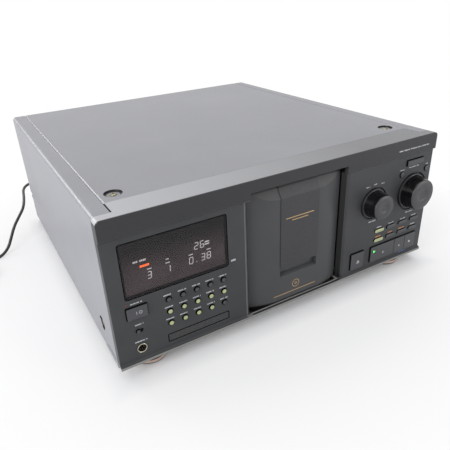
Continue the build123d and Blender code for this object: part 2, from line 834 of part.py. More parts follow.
# ------------------------------------------------------------------ door
def make_door():
    """Convex door, open at the back: leaned-back facet, grip seat, finger hollow and two hinge pins."""
    door = plan_profile(door_front_curve(0, door_half, door_back), up(door_bottom), up(door_top))
    cavity = plan_profile(
        door_front_curve(door_wall, door_half - door_wall, door_back + 1),
        up(door_bottom + door_wall),
        up(door_top - door_wall),
    )
    sides = (door_centre - door_half - 1, door_centre + door_half + 1)
    # the facet's plane cuts the skin, and the same plane set back bounds the hollow
    door -= side_profile(above_facet(door_front), *sides)
    cavity -= side_profile(above_facet(door_front + door_wall * sqrt(1 + facet_slope**2)), *sides)
    hollow = [
        (door_front - 1, hollow_bottom),
        (door_front, hollow_bottom),
        (door_front + hollow_depth, hollow_bottom + 3),
        (door_front + hollow_depth, grip_bottom),
        (door_front - 1, grip_bottom),
    ]
    backing = [
        (door_front + 1, hollow_bottom - door_wall - 1),
        (door_front + hollow_depth + door_wall, hollow_bottom + 1),
        (door_front + hollow_depth + door_wall, grip_bottom + door_wall),
        (door_front + 1, grip_bottom + door_wall),
    ]
    cavity -= side_profile(backing, door_centre - grip_half - door_wall, door_centre + grip_half + door_wall)
    door -= cavity
    door -= side_profile(hollow, door_centre - grip_half, door_centre + grip_half)
    seat = grip_outline(grip_thickness - grip_proud, -2, 1)
    door -= side_profile(seat, door_centre - grip_half, door_centre + grip_half)
    for side in (-1, 1):
        inner = door_centre + side * (door_half - door_wall / 2)
        outer = door_centre + side * (door_half + hinge_pin_length + door_gap - fit_gap)
        door += x_rod(min(inner, outer), max(inner, outer), hinge_y, hinge_z, hinge_pin_radius)
    return door


def above_facet(depth):
    """Side outline of the space in front of the leaned-back facet, whose lower edge is at this depth."""
    rise = door_top + 2 - facet_start
    return [
        (depth - 1, facet_start - 1 / facet_slope),
        (depth + facet_slope * rise, facet_start + rise),
        (depth - 1, facet_start + rise),
    ]


def grip_outline(back, front, spare=0):
    """Side outline of the grip panel between two depths from the door's face, leaned back with the facet."""
    run = facet_slope * (door_top + spare - facet_start)
    return [
        (door_front + front, grip_bottom),
        (door_front + back, grip_bottom),
        (door_front + back, facet_start),
        (door_front + back + run, door_top + spare),
        (door_front + front + run, door_top + spare),
        (door_front + front, facet_start),
    ]


def make_grip():
    """Panel let into the middle of the door; its lower edge is the finger lip."""
    outline = grip_outline(grip_thickness - grip_proud, -grip_proud)
    return side_profile(outline, door_centre - grip_half, door_centre + grip_half)


# ------------------------------------------------------------------ controls
def make_dial(centre, flange, skirt_radius, cap):
    """Turned dial: round boss through the panel, flange in the well, tapered skirt and a dished cap."""
    back = board_depth - fit_gap
    x, height = centre
    plane = face_plane(x, height, back)
    face = back + knob_reach
    seat = back - field - well_depth + fit_gap
    lip = back - field + dial_lip
    profile = ((seat, flange), (lip, flange), (lip + 0.6, skirt_radius), (face - 0.8, cap), (face, cap - 0.8))
    dial = y_rod(at(back - seat - 0.5), at(back), x, up(height), dial_boss)
    dial += turned(plane, turned_sides, *profile)
    dish_foot, dish_edge = cap * 0.3, cap * 0.45
    dish = ((face - dial_dimple, dish_foot), (face, dish_edge), (face + 1, dish_edge))
    return dial - turned(plane, turned_sides, *dish)


def skirt(sketch, centre):
    """Wider back end of a button, which holds it behind the panel."""
    return through(sketch, centre, field_back + skirt_clearance, button_back)


def make_round_button(centre, radius, skirt_sides):
    """Round plunger through the panel, with its skirt."""
    button = stud(centre, radius, button_face, field_back + 1)
    flat_up = Rot(0, 0, 180 / skirt_sides)
    return button + skirt(flat_up * many_sided(radius + skirt_margin, skirt_sides), centre)


def make_pill(centre):
    """Pill-shaped button with its skirt."""
    button = through(stadium(pill_size), centre, button_face, field_back + 1)
    return button + skirt(Rectangle(pill_size[0] + 2 * skirt_margin, pill_size[1] + 2 * skirt_margin), centre)


def make_timer_switch():
    """Slider in its slot, with a plate behind the panel that covers the slot over the whole travel."""
    place = (timer_centre[0] + timer_rest, timer_centre[1])
    slider = through(Rectangle(*timer_knob), place, timer_front, field_back + 1)
    plate = Rectangle(2 * timer_slot[0] - timer_knob[0], timer_slot[1] + 2 * skirt_margin)
    return slider + skirt(plate, place)


def make_socket():
    """Keyboard socket: round front through the panel and a square body against the control board."""
    front = field - socket_proud
    x, height = socket_centre
    socket = stud(socket_centre, socket_radius, front, field_back + 1)
    socket += through(Rectangle(socket_body, socket_body), socket_centre, field_back, board_depth)
    return socket - y_rod(at(front - 1), at(front + socket_bore_depth), x, up(height), socket_bore)


def make_window():
    """Smoked pane that lies in its rebate, flush with the field."""
    return through(Rectangle(*window_size), window_centre, field, field + window_thickness)


def make_display_tube():
    """Flat display tube that stands on the left control board behind the window."""
    tube = through(Rectangle(*tube_size), tube_centre, board_depth - tube_depth, board_depth)
    return chamfer(tube.faces().sort_by(Axis.Y)[0].edges(), 0.8)


def make_key(centre, size, margin=(skirt_margin, skirt_margin)):
    """Large flat key with a chamfered rim and a skirt behind the panel."""
    key = through(Rectangle(*size), centre, key_face, button_back)
    key = chamfer(key.faces().sort_by(Axis.Y)[0].edges(), key_chamfer)
    return key + skirt(Rectangle(size[0] + 2 * margin[0], size[1] + 2 * margin[1]), centre)


# ------------------------------------------------------------------ table and drive
def toothed(teeth, root, tip, root_share, tip_share, phase):
    """Points of a toothed outline: each tooth is a trapezoid between the root and the tip radius."""
    points = []
    pitch = 2 * pi / teeth
    for tooth in range(teeth):
        middle = phase + tooth * pitch
        for share, radius in ((-root_share, root), (-tip_share, tip), (tip_share, tip), (root_share, root)):
            angle = middle + share * pitch / 2
            points.append((radius * cos(angle), radius * sin(angle)))
    return points


ring_pitch_radius = gear_module * ring_teeth / 2
pinion_pitch_radius = gear_module * pinion_teeth / 2
pinion_distance = ring_pitch_radius - pinion_pitch_radius
pinion_x = pinion_distance * cos(radians(pinion_angle))
pinion_y = table_y + pinion_distance * sin(radians(pinion_angle))
gear_top = table_floor_height
gear_bottom = gear_top - gear_height


def make_table():
    """Disc table: floor, radial slots closed by the rim, and the internal gear ring underneath."""
    slots = []
    half = slot_width / 2
    pitch = 2 * pi / slot_count
    slot_end = table_radius - table_rim
    tip = half / sin(pitch / 2)
    for slot in range(slot_count):
        angle = slot * pitch
        along = (cos(angle), sin(angle))
        for side in (-half, half):
            slots.append((slot_end * along[0] - side * along[1], slot_end * along[1] + side * along[0]))
        between = angle + pitch / 2
        slots.append((tip * cos(between), tip * sin(between)))
    table = z_rod(table_floor_height, fin_top, 0, 0, table_radius)
    table -= extrude(Pos(0, 0, table_top) * make_face(Polyline(*slots, close=True)), amount=fin_height + 1)
    table -= z_rod(table_floor_height - 1, table_top + 1, 0, 0, table_bore)
    tooth = 0.5 * (1 - gear_backlash / gear_module)
    teeth = toothed(
        ring_teeth,
        ring_pitch_radius + 1.2 * gear_module,
        ring_pitch_radius - gear_module + gear_backlash,
        tooth + 0.22,
        tooth - 0.18,
        radians(pinion_angle) + pi / ring_teeth,
    )
    ring = z_rod(gear_bottom, table_floor_height, 0, 0, ring_pitch_radius + ring_wall)
    inside = Pos(0, 0, gear_bottom - 1) * make_face(Polyline(*teeth, close=True))
    ring -= extrude(inside, amount=gear_height + 1)
    return Pos(0, table_y, 0) * (table + ring)


def make_pinion():
    """Drive gear with its shaft down into the motor."""
    tooth = 0.5 * (1 - gear_backlash / gear_module)
    teeth = toothed(
        pinion_teeth,
        pinion_pitch_radius - 1.2 * gear_module,
        pinion_pitch_radius + gear_module - gear_backlash,
        tooth + 0.14,
        tooth - 0.24,
        radians(pinion_angle),
    )
    outline = Pos(0, 0, gear_bottom) * make_face(Polyline(*teeth, close=True))
    gear = extrude(outline, amount=gear_height - fit_gap)
    gear += z_rod(pan_top + 3, gear_bottom, 0, 0, motor_shaft_radius)
    return Pos(pinion_x, pinion_y, 0) * gear


def make_table_motor():
    """Can motor standing on the chassis pan, bored for the drive gear's shaft."""
    can = Plane(origin=(pinion_x, pinion_y, pan_top)) * many_sided(motor_radius, foot_sides)
    motor = extrude(can, amount=gear_bottom - fit_gap - pan_top)
    return motor - z_rod(pan_top + 2, gear_bottom, pinion_x, pinion_y, motor_shaft_radius + running_gap)


# ------------------------------------------------------------------ player
plate_back = pick_plate_x - plate_thickness
clamp_outer = clamp_plate_x + plate_thickness
rod_x = plate_back - sled_gap - sled_size[0] / 2
rod_front = table_y + sled_start - 1
rod_rear = table_y + sled_start + sled_size[1] + sled_travel + 1
pick_rear = rod_rear + rod_block - table_y
clamp_rear = arm_length * cos(radians(arm_swing)) - arm_finger_radius - 2


def make_player():
    """Deck on four posts: pick-up and clamp plates, the sled's guide rods and the arm's pivot pin."""
    deck_top = deck_height + deck_thickness
    outline = chamfer(Rectangle(2 * deck_half, 2 * deck_half).vertices(), deck_corner)
    deck = extrude(Plane(origin=(0, table_y, deck_height)) * outline, amount=deck_thickness)
    for x in (-deck_post_place, deck_post_place):
        for y in (-deck_post_place, deck_post_place):
            deck += block(
                (x - deck_post_half, x + deck_post_half),
                (table_y + y - deck_post_half, table_y + y + deck_post_half),
                (pan_top, deck_height + 1),
            )
    front = table_y - plate_front
    deck += block((plate_back, pick_plate_x), (front, table_y + pick_rear), (deck_top - 1, plate_top))
    deck += block((clamp_plate_x, clamp_outer), (front, table_y + clamp_rear), (deck_top - 1, plate_top))
    deck += block((plate_back, clamp_outer), (front, front + plate_tie), (plate_top - plate_tie, plate_top))
    boss_end = disc_face_x + spindle_hub_height + clamp_clearance
    boss = x_plane(boss_end, table_y, disc_z) * many_sided(clamp_boss_radius, small_sides)
    deck += extrude(boss, amount=clamp_plate_x - boss_end + 1)
    # bearing housing of the spindle, behind the pick-up plate
    deck += block(
        (plate_back - spindle_housing_depth, plate_back + 1),
        (table_y - spindle_housing, table_y + spindle_housing),
        (disc_z - spindle_housing, disc_z + spindle_housing),
    )
    bore_start = plate_back - spindle_housing_depth - 1
    deck -= x_rod(bore_start, pick_plate_x + 1, table_y, disc_z, spindle_shaft_radius + running_gap)
    # window for the lens, and the guide rods across it with their end blocks
    deck -= block(
        (plate_back - 1, pick_plate_x + 1),
        (table_y + sled_start, table_y + sled_start + sled_size[1] + sled_travel),
        (disc_z - lens_radius - 2, disc_z + lens_radius + 2),
    )
    for sign in (-1, 1):
        rod = y_plane(rod_x, rod_front - 1, disc_z + sign * rod_spread) * many_sided(rod_radius, screw_sides)
        deck += extrude(rod, amount=rod_rear - rod_front + 2)
    for y0 in (rod_front - rod_block, rod_rear):
        block_heights = (disc_z - rod_block_half, disc_z + rod_block_half)
        deck += block((rod_x - rod_radius - 1.5, plate_back + 1), (y0, y0 + rod_block), block_heights)
    pin_end = clamp_outer + fit_gap + arm_thickness + 1.5
    return deck + x_rod(clamp_outer - 1, pin_end, table_y, arm_pivot_height, arm_pivot_radius)


def make_sled():
    """Pick-up sled with its lens, sliding on the two guide rods."""
    x1 = plate_back - sled_gap
    y0 = table_y + sled_start
    width, depth, height = sled_size
    sled = block((x1 - width, x1), (y0, y0 + depth), (disc_z - height / 2, disc_z + height / 2))
    lens = x_plane(x1, y0 + depth / 2, disc_z) * many_sided(lens_radius, small_sides)
    sled += extrude(lens, amount=pick_plate_x + lens_reach - x1)
    for sign in (-1, 1):
        bore = y_plane(rod_x, y0 - 1, disc_z + sign * rod_spread)
        sled -= extrude(bore * many_sided(rod_radius + running_gap, screw_sides), amount=depth + 2)
    return sled


def make_spindle():
    """Disc spindle: turntable, centring hub and shaft through the pick-up plate."""
    turntable_x = pick_plate_x + turntable_gap
    shaft_end = plate_back - spindle_housing_depth + 1
    spindle = x_rod(shaft_end, pick_plate_x + 1, table_y, disc_z, spindle_shaft_radius)
    turntable = x_plane(turntable_x, table_y, disc_z) * many_sided(spindle_radius, foot_sides)
    spindle += extrude(turntable, amount=disc_face_x - turntable_x)
    hub = x_plane(disc_face_x, table_y, disc_z) * many_sided(spindle_hub_radius, small_sides)
    return spindle + extrude(hub, amount=spindle_hub_height)


def make_arm():
    """Loading arm on its pivot beside the clamp plate, with a finger that meets the disc's edge."""
    x0 = clamp_outer + fit_gap
    plane = x_plane(x0, table_y, arm_pivot_height)
    lever = plane * (Pos(arm_length / 2, 0) * stadium((arm_length + arm_width, arm_width)))
    finger = plane * (Pos(arm_length, 0) * many_sided(arm_finger_radius, small_sides))
    arm = extrude(lever, amount=arm_thickness) + extrude(finger, amount=arm_finger_end - x0)
    return arm - extrude(plane * Circle(arm_pivot_radius + running_gap), amount=arm_thickness + 1)


# ------------------------------------------------------------------ electronics
def make_main_board():
    """Main board on two posts at the rear right, low enough to lie under the table's edge."""
    x1 = pan_half - main_board_insets[0]
    x0 = x1 - main_board_size[0]
    y1 = rear_y - main_board_insets[1]
    y0 = y1 - main_board_size[1]
    board_top = pan_top + main_board_height
    board = block((x0, x1), (y0, y1), (board_top - board_thickness, board_top))
    middle = (y0 + y1) / 2
    half = post_width * 0.75
    for x in (x0 + 2 * half, x1 - 2 * half):
        board += block((x - half, x + half), (middle - half, middle + half), (pan_top, board_top - 1))
    return board


def make_transformer():
    """Mains transformer: upright core with its winding, on the pan in the rear left corner."""
    width, depth, height = transformer_size
    x0 = -pan_half + transformer_insets[0]
    y0 = rear_y - transformer_insets[1] - depth
    core = block((x0, x0 + width), (y0, y0 + depth), (pan_top, pan_top + height))
    middle = (x0 + width / 2, y0 + depth / 2)
    limits = (middle[0] - winding_size[0] / 2, middle[0] + winding_size[0] / 2)
    low = pan_top + (height - winding_size[2]) / 2
    return core + block(limits, (middle[1] - winding_size[1] / 2, middle[1]), (low, low + winding_size[2]))


# ------------------------------------------------------------------ mains cord
def make_strain_relief():
    """Strain relief clipped into the rear panel, tapering along the cord."""
    plane = y_plane(cord_exit_x, rear_y, cord_exit_height)
    relief = turned(plane, small_sides, (-sheet - relief_collar, relief_head), (-sheet, relief_head))
    relief += turned(plane, small_sides, (-sheet - 0.5, relief_neck), (0.5, relief_neck))
    outside = ((0, relief_head), (relief_collar, relief_head), (2 * relief_collar, relief_neck))
    return relief + turned(plane, small_sides, *outside, (relief_length, relief_tip))


def cord_radii(points):
    """The largest tangent arc at each corner: 0.45 of the shorter run over the tangent of half the turn."""
    radii = []
    for before, here, after in zip(points, points[1:], points[2:]):
        run_in, run_out = here - before, after - here
        turn = radians(run_in.get_angle(run_out))
        radii.append(0.45 * min(run_in.length, run_out.length) / tan(turn / 2))
    return radii


def swept(path, section):
    """Section of the cord swept along a path of straight runs and tangent arcs."""
    return sweep(Plane(origin=path @ 0, z_dir=path % 0) * section, path=path)


def make_cord():
    """The cord's free stretch from the strain relief to the coil."""
    points = [Vector(*point) for point in cord_route]
    radii = cord_radii(points)
    path = FilletPolyline(*points, radius=radii)
    cord = swept(path, RegularPolygon(cord_diameter / 2, cord_sides))
    area = cord_sides / 2 * (cord_diameter / 2) ** 2 * sin(2 * pi / cord_sides)
    print("cord radii", [round(radius) for radius in radii])
    print("cord length", round(path.length, 1), "volume over section", round(cord.volume / area, 1))
    return cord


def coil_path():
    """Centre line of the coil: a straight run in, half turns that spiral in and out again, and a tail."""
    entry = Vector(*cord_route[-1])
    x, y, height = entry.X - cord_diameter, entry.Y - coil_outer, entry.Z
    edges = [Line(entry, (x, entry.Y, height))]
    radius = coil_outer
    side = 1  # each half turn starts at the rear of its circle and runs to the front, or the other way round
    for index in range(coil_half_turns):
        start = Vector(x, y + side * radius, height)
        if index == coil_in_half_turns:
            height += coil_climb
        end = Vector(x, y - side * radius, height)
        middle = (start + end) / 2 - Vector(side * (end - start).length / 2, 0, 0)
        edges.append(ThreePointArc(start, middle, end))
        step = -coil_step if index < coil_in_half_turns else coil_step
        y += side * step  # the next circle touches this one where it begins
        radius += step
        side = -side
    edges.append(Line(end, end - Vector(coil_tail, 0, 0)))
    return Wire([edge.edge() for edge in edges])


def least_gap(path, apart):
    """Least clear distance of a cord to itself, over points one millimetre apart along its path."""
    count = int(path.length)
    spots = [path.position_at(index / count) for index in range(count + 1)]
    spots = [(spot.X, spot.Y, spot.Z) for spot in spots]
    least = min(
        (a[0] - b[0]) ** 2 + (a[1] - b[1]) ** 2 + (a[2] - b[2]) ** 2
        for index, a in enumerate(spots)
        for b in spots[index + apart:]
    )
    return sqrt(least) - cord_diameter


def make_coil():
    """The coil that holds the rest of the cord, in two layers, with its straight ends."""
    path = coil_path()
    print("coil length", round(path.length, 1), "least gap", round(least_gap(path, 40), 2))
    return swept(path, Rectangle(coil_side, coil_side))


def make_plug():
    """Mains plug with two flat blades, lying at the end of the coil's tail."""
    tail = coil_path() @ 1
    plane = Plane(origin=tail, x_dir=(0, 1, 0), z_dir=(-1, 0, 0))
    side, neck = plug_neck
    square = ((1, 1), (-1, 1), (-1, -1), (1, -1))
    rings = [
        [plane.from_local_coords((x * width / 2, y * height / 2, along)) for x, y in square]
        for along, width, height in ((0, side, side), (neck, *plug_body[1:]), plug_body)
    ]
    plug = facetted(rings)
    length, thickness, width = blade_size
    for place in (-blade_spread, blade_spread):
        blade = Pos(place, 0) * Rectangle(thickness, width)
        plug += extrude(plane.offset(plug_body[0] - 1) * blade, amount=length + 1)
    return plug


# ------------------------------------------------------------------ assembly
def write(name, solids):
    """Keeps a node and writes its file."""
    if not isinstance(solids, (list, tuple)):
        solids = [solids]
    flat = [solid for shape in solids for solid in shape.solids()]
    node = flat[0] if len(flat) == 1 else Compound(children=flat)
    node.label = name
    parts[name] = node
    export_step(node, f"parts/{name}.step")


def build():
    """Makes every node."""
    write("top_cover", make_top_cover())
    write("chassis_base", make_chassis())
    write("rear_panel", make_rear_panel())
    write("front_panel", make_front_panel())
    write("control_boards", make_boards())
    write("feet", make_feet())
    write("case_screws", make_case_screws())
    write("rear_jacks", make_rear_jacks())
    write("front_door", make_door())
    write("door_grip_panel", make_grip())
    write("disc_table", make_table())
    write("table_drive_gear", make_pinion())
    write("table_motor", make_table_motor())
    write("player_mechanism", make_player())
    write("pickup_sled", make_sled())
    write("disc_spindle", make_spindle())
    write("loading_arm", make_arm())
    write("main_board", make_main_board())
    write("power_transformer", make_transformer())

    write("display_window", make_window())
    write("display_tube", make_display_tube())
    write("keyboard_socket", make_socket())
    write("timer_switch", make_timer_switch())
    write("power_button", make_key(power_centre, power_size))
    write("open_close_button", make_key(open_centre, open_size))
    write("bar_button", make_key(bar_centre, bar_size))
    for name, place, width in zip(transport_names, transport_places, transport_widths):
        write(name, make_key(place, (width, transport_height), (0, skirt_margin)))
    for number, place in enumerate(round_places, 1):
        write(f"round_button_{number:02d}", make_round_button(place, round_radius, 4))
    for number, place in enumerate(spot_centres, 1):
        write(f"spot_button_{number}", make_round_button(place, spot_radius, small_sides))
    for number, place in enumerate(pill_places, 1):
        write(f"pill_button_{number}", make_pill(place))
    write("big_dial", make_dial(big_dial_centre, big_dial_flange, big_dial_skirt, big_dial_cap))
    write("small_dial", make_dial(small_dial_centre, small_dial_flange, small_dial_skirt, small_dial_cap))

    write("cord_strain_relief", make_strain_relief())
    write("power_cord", make_cord())
    write("cord_coil", make_coil())
    write("power_plug", make_plug())


os.makedirs("parts", exist_ok=True)
build()
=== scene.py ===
"""Dresses the carousel disc changer: finishes for its cover, panel and door, smooth dials and buttons,
the lit display, printed marks, feet, sockets and the mains cord, on a pale studio floor."""
import math
import random

import bmesh
import bpy
from bpy.props import FloatProperty, FloatVectorProperty, IntProperty, PointerProperty
from mathutils import Matrix, Vector


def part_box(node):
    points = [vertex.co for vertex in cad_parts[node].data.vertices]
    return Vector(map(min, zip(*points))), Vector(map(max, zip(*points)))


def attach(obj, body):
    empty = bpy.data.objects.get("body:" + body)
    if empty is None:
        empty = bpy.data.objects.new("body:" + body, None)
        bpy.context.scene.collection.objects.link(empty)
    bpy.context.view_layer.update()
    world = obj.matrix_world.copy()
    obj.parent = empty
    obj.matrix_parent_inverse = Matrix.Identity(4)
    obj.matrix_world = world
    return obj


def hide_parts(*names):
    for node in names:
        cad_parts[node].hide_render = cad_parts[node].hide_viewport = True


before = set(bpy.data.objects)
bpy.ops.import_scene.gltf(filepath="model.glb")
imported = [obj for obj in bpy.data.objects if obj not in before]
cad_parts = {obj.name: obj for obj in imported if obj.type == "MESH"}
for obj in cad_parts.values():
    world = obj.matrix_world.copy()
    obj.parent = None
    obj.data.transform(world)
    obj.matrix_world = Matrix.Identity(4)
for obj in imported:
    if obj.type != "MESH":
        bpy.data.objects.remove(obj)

bl_info = {
    "name": "Carousel disc changer",
    "version": (1, 0, 0),
    "blender": (4, 5, 0),
    "location": "3D View > Sidebar > Disc changer",
    "description": "Finishes, controls, display, marks and cord of a carousel disc changer",
    "category": "Object",
}

MM = 0.001
FACE_Y = -0.220  # the panel's face; depths are counted from here towards the rear
PANEL_FOOT = 0.015  # the panel's bottom edge; heights are counted from here
REAR_Y = 0.230  # the rear panel's outer face
FIELD = 3.0  # depth of the panel's field
BAND_FOOT = 146.2  # height where the proud band along the panel's top begins
COVER_TOP, COVER_SIDE = 0.181, 0.215  # the cover's height and half its width, in metres
TOP_SCREW, SIDE_SCREW = (0.181, -0.167, COVER_TOP), (COVER_SIDE, -0.170, 0.043)  # the cover's screws on the right
CORNERS = ((-1, -1), (1, -1), (1, 1), (-1, 1))
GAP_SHADE = (0.0015, 0.0015, 0.0016)  # painted shade: the black of plastic that lies deep in a gap
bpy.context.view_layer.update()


def place(x, height, depth=0.0):
    """A point of the front in metres, from its x, height and depth in millimetres."""
    return Vector((x * MM, FACE_Y + depth * MM, PANEL_FOOT + height * MM))


# ------------------------------------------------------------------ settings
class StageSettings(bpy.types.PropertyGroup):
    """Camera, lamps and floor."""
    azimuth: FloatProperty(name="Camera turn", description="Turn of the camera to the left of the front",
                           default=math.radians(28.967), subtype="ANGLE", unit="ROTATION")
    elevation: FloatProperty(name="Camera tilt", description="How far the camera looks down",
                             default=math.radians(26.996), subtype="ANGLE", unit="ROTATION")
    roll: FloatProperty(name="Camera roll", description="Roll of the camera about its line of sight",
                        default=math.radians(-2.809), subtype="ANGLE", unit="ROTATION")
    spot: FloatVectorProperty(name="Camera place", description="Where the camera stands",
                              default=(-0.2899, -0.5808, 0.3523), subtype="TRANSLATION", unit="LENGTH")
    lens: FloatProperty(name="Lens", description="Focal length on a 36 mm sensor", default=37.58, min=10)
    ambient: FloatProperty(name="Ambient", description="Strength of the even light from all round", default=0.46, min=0)
    top_lamp: FloatProperty(name="Top lamp", description="Power of the large lamp above", default=13.0, min=0,
                            unit="POWER")
    left_lamp: FloatProperty(name="Left lamp", description="Power of the window-like lamp at the front left",
                             default=23.0, min=0, unit="POWER")
    right_lamp: FloatProperty(name="Right lamp", description="Power of the soft lamp at the front right", default=12.0,
                              min=0, unit="POWER")
    rear_lamp: FloatProperty(name="Rear lamp", description="Power of the window-like lamp behind on the left",
                             default=11.0, min=0, unit="POWER")


class CordSettings(bpy.types.PropertyGroup):
    """Mains cord and its coil."""
    diameter: FloatProperty(name="Diameter", description="Thickness of the cord", default=4.5 * MM, unit="LENGTH")
    coil_radius: FloatProperty(name="Coil radius", description="Radius of the coil's first half turn",
                               default=35.75 * MM, unit="LENGTH")
    coil_step: FloatProperty(name="Coil step", description="Change of radius in each half turn",
                             default=2.5 * MM, unit="LENGTH")
    turn_points: IntProperty(name="Points a half turn", description="Control points in each half turn", default=8,
                             min=6)


class FinishSettings(bpy.types.PropertyGroup):
    """Colours of the main finishes."""
    cover: FloatVectorProperty(name="Cover", description="Satin paint of the cover", size=3, subtype="COLOR",
                               default=(0.270, 0.270, 0.292), min=0, max=1)
    panel: FloatVectorProperty(name="Panel", description="Black moulding of the front", size=3, subtype="COLOR",
                               default=(0.041, 0.042, 0.044), min=0, max=1)
    door: FloatVectorProperty(name="Door", description="Moulding of the door", size=3, subtype="COLOR",
                              default=(0.044, 0.045, 0.047), min=0, max=1)
    pale: FloatVectorProperty(name="Pale buttons", description="Translucent pale green buttons", size=3,
                              subtype="COLOR", default=(0.42, 0.45, 0.24), min=0, max=1)
    print_white: FloatVectorProperty(name="White print", description="Ink of the marks", size=3, subtype="COLOR",
                                     default=(0.50, 0.51, 0.53), min=0, max=1)
    print_gold: FloatVectorProperty(name="Gold print", description="Ink of the door's marks", size=3,
                                    subtype="COLOR", default=(0.58, 0.38, 0.17), min=0, max=1)


class ControlSettings(bpy.types.PropertyGroup):
    """Sizes of the controls on the front."""
    round_radius: FloatProperty(name="Round button", description="Radius of the round buttons", default=2.9 * MM,
                                unit="LENGTH")
    pill_length: FloatProperty(name="Pill length", description="Length of the pill buttons", default=16 * MM,
                               unit="LENGTH")
    pill_height: FloatProperty(name="Pill height", description="Height of the pill buttons", default=4.6 * MM,
                               unit="LENGTH")
    mark_lift: FloatProperty(name="Ink", description="Thickness of the printed marks", default=0.06 * MM,
                             unit="LENGTH")


# ------------------------------------------------------------------ finishes
def join(tree, source, target):
    tree.links.new(source, target)


def add(tree, kind, **values):
    """A node of this kind, with its properties and inputs set, an input linked where its value is a socket."""
    node = tree.nodes.new(kind)
    for key, value in values.items():
        if key not in node.inputs.keys():
            setattr(node, key, value)
        elif isinstance(value, bpy.types.NodeSocket):
            join(tree, value, node.inputs[key])
        else:
            node.inputs[key].default_value = value
    return node


def finish(name, colour, rough=0.5, metal=0.0, tone=0.10, rough_spread=0.08, grain=900.0, bump=0.12, patch=22.0,
           stretch=(1, 1, 1), specks=0.0, glow=0.0, alpha=1.0, ior=1.5):
    """A procedural finish: patches of tone, fine grain in the roughness and the surface, and dust specks."""
    mat = bpy.data.materials.get(name)
    if mat:
        return mat
    mat = bpy.data.materials.new(name)
    mat.use_nodes = True
    tree = mat.node_tree
    shader = tree.nodes["Principled BSDF"]
    spot = add(tree, "ShaderNodeTexCoord").outputs["Object"]
    mapped = add(tree, "ShaderNodeMapping", Vector=spot, Scale=stretch).outputs["Vector"]
    patches = add(tree, "ShaderNodeTexNoise", Vector=mapped, Scale=patch, Detail=5.0, Roughness=0.55).outputs["Fac"]
    fine = add(tree, "ShaderNodeTexNoise", Vector=mapped, Scale=grain, Detail=2.0).outputs["Fac"]
    ramp = add(tree, "ShaderNodeValToRGB", Fac=patches)
    low, high = ramp.color_ramp.elements
    low.position, high.position = 0.3, 0.7
    low.color = (*[c * (1 - tone) for c in colour], 1)
    high.color = (*[min(1, c * (1 + tone)) for c in colour], 1)
    join(tree, ramp.outputs["Color"], shader.inputs["Base Color"])
    if specks:
        dust = add(tree, "ShaderNodeTexVoronoi", Vector=spot, Scale=130.0).outputs["Distance"]
        tint(mat, spread(tree, dust, 0.035, 0.02, 0, specks), (0.5, 0.5, 0.48))
    gloss = spread(tree, fine, 0.25, 0.75, max(0.02, rough - rough_spread), min(1, rough + rough_spread))
    join(tree, gloss, shader.inputs["Roughness"])
    relief = add(tree, "ShaderNodeBump", Strength=bump, Distance=0.0002, Height=fine)
    join(tree, relief.outputs["Normal"], shader.inputs["Normal"])
    values = {"Metallic": metal, "IOR": ior, "Alpha": alpha}
    if glow:
        values.update({"Emission Color": (*colour, 1), "Emission Strength": glow})
    for label, value in values.items():
        shader.inputs[label].default_value = value
    return mat


def math_node(tree, operation, *values):
    """The output of a Math node whose values are numbers or sockets."""
    node = add(tree, "ShaderNodeMath", operation=operation)
    for slot, value in zip(node.inputs, values):
        if isinstance(value, (int, float)):
            slot.default_value = value
        else:
            join(tree, value, slot)
    return node.outputs["Value"]


def spread(tree, value, low, high, first=0.0, last=1.0):
    """The value between low and high, spread from first to last and held beyond them."""
    limits = {"From Min": low, "From Max": high, "To Min": first, "To Max": last}
    return add(tree, "ShaderNodeMapRange", Value=value, **limits).outputs["Result"]


def parts_of(tree, output="Object"):
    """The three parts of a point on the object."""
    parts = add(tree, "ShaderNodeSeparateXYZ", Vector=add(tree, "ShaderNodeTexCoord").outputs[output])
    return [parts.outputs[axis] for axis in "XYZ"]


def within(tree, parts, limits):
    """1 inside a box of (axis, low, high) limits in metres and 0 outside it."""
    share = 1.0
    for axis, low, high in limits:
        inside = math_node(tree, "COMPARE", parts[axis], (low + high) / 2, (high - low) / 2)
        share = math_node(tree, "MULTIPLY", share, inside)
    return share


def tint(mat, share, colour):
    """Lays the colour over the finish where the share is 1."""
    tree = mat.node_tree
    base = tree.nodes["Principled BSDF"].inputs["Base Color"]
    mix = add(tree, "ShaderNodeMix", data_type="RGBA", Factor=share)
    sides = [s for s in mix.inputs if s.type == "RGBA"]
    join(tree, base.links[0].from_socket, sides[0])
    sides[1].default_value = (*colour, 1)
    join(tree, [s for s in mix.outputs if s.type == "RGBA"][0], base)


def key_finish():
    """Black key plastic, with painted shade in black on its sides where they lie deep in their gaps."""
    mat = bpy.data.materials.get("key_moulding")
    if not mat:
        mat = finish("key_moulding", (0.054, 0.054, 0.059), rough=0.38, grain=1500, bump=0.08)
        tree = mat.node_tree
        facing = math_node(tree, "ABSOLUTE", parts_of(tree, "Normal")[1])
        # painted shade: the sides that face across the gaps turn black
        tint(mat, math_node(tree, "LESS_THAN", facing, 0.7), GAP_SHADE)
    return mat


def painted_gap_black():
    """Painted shade: the black of a narrow gap."""
    return finish("gap_shadow", (0.0012, 0.0012, 0.0013), rough=0.85, tone=0.3, bump=0.0, ior=1.15)


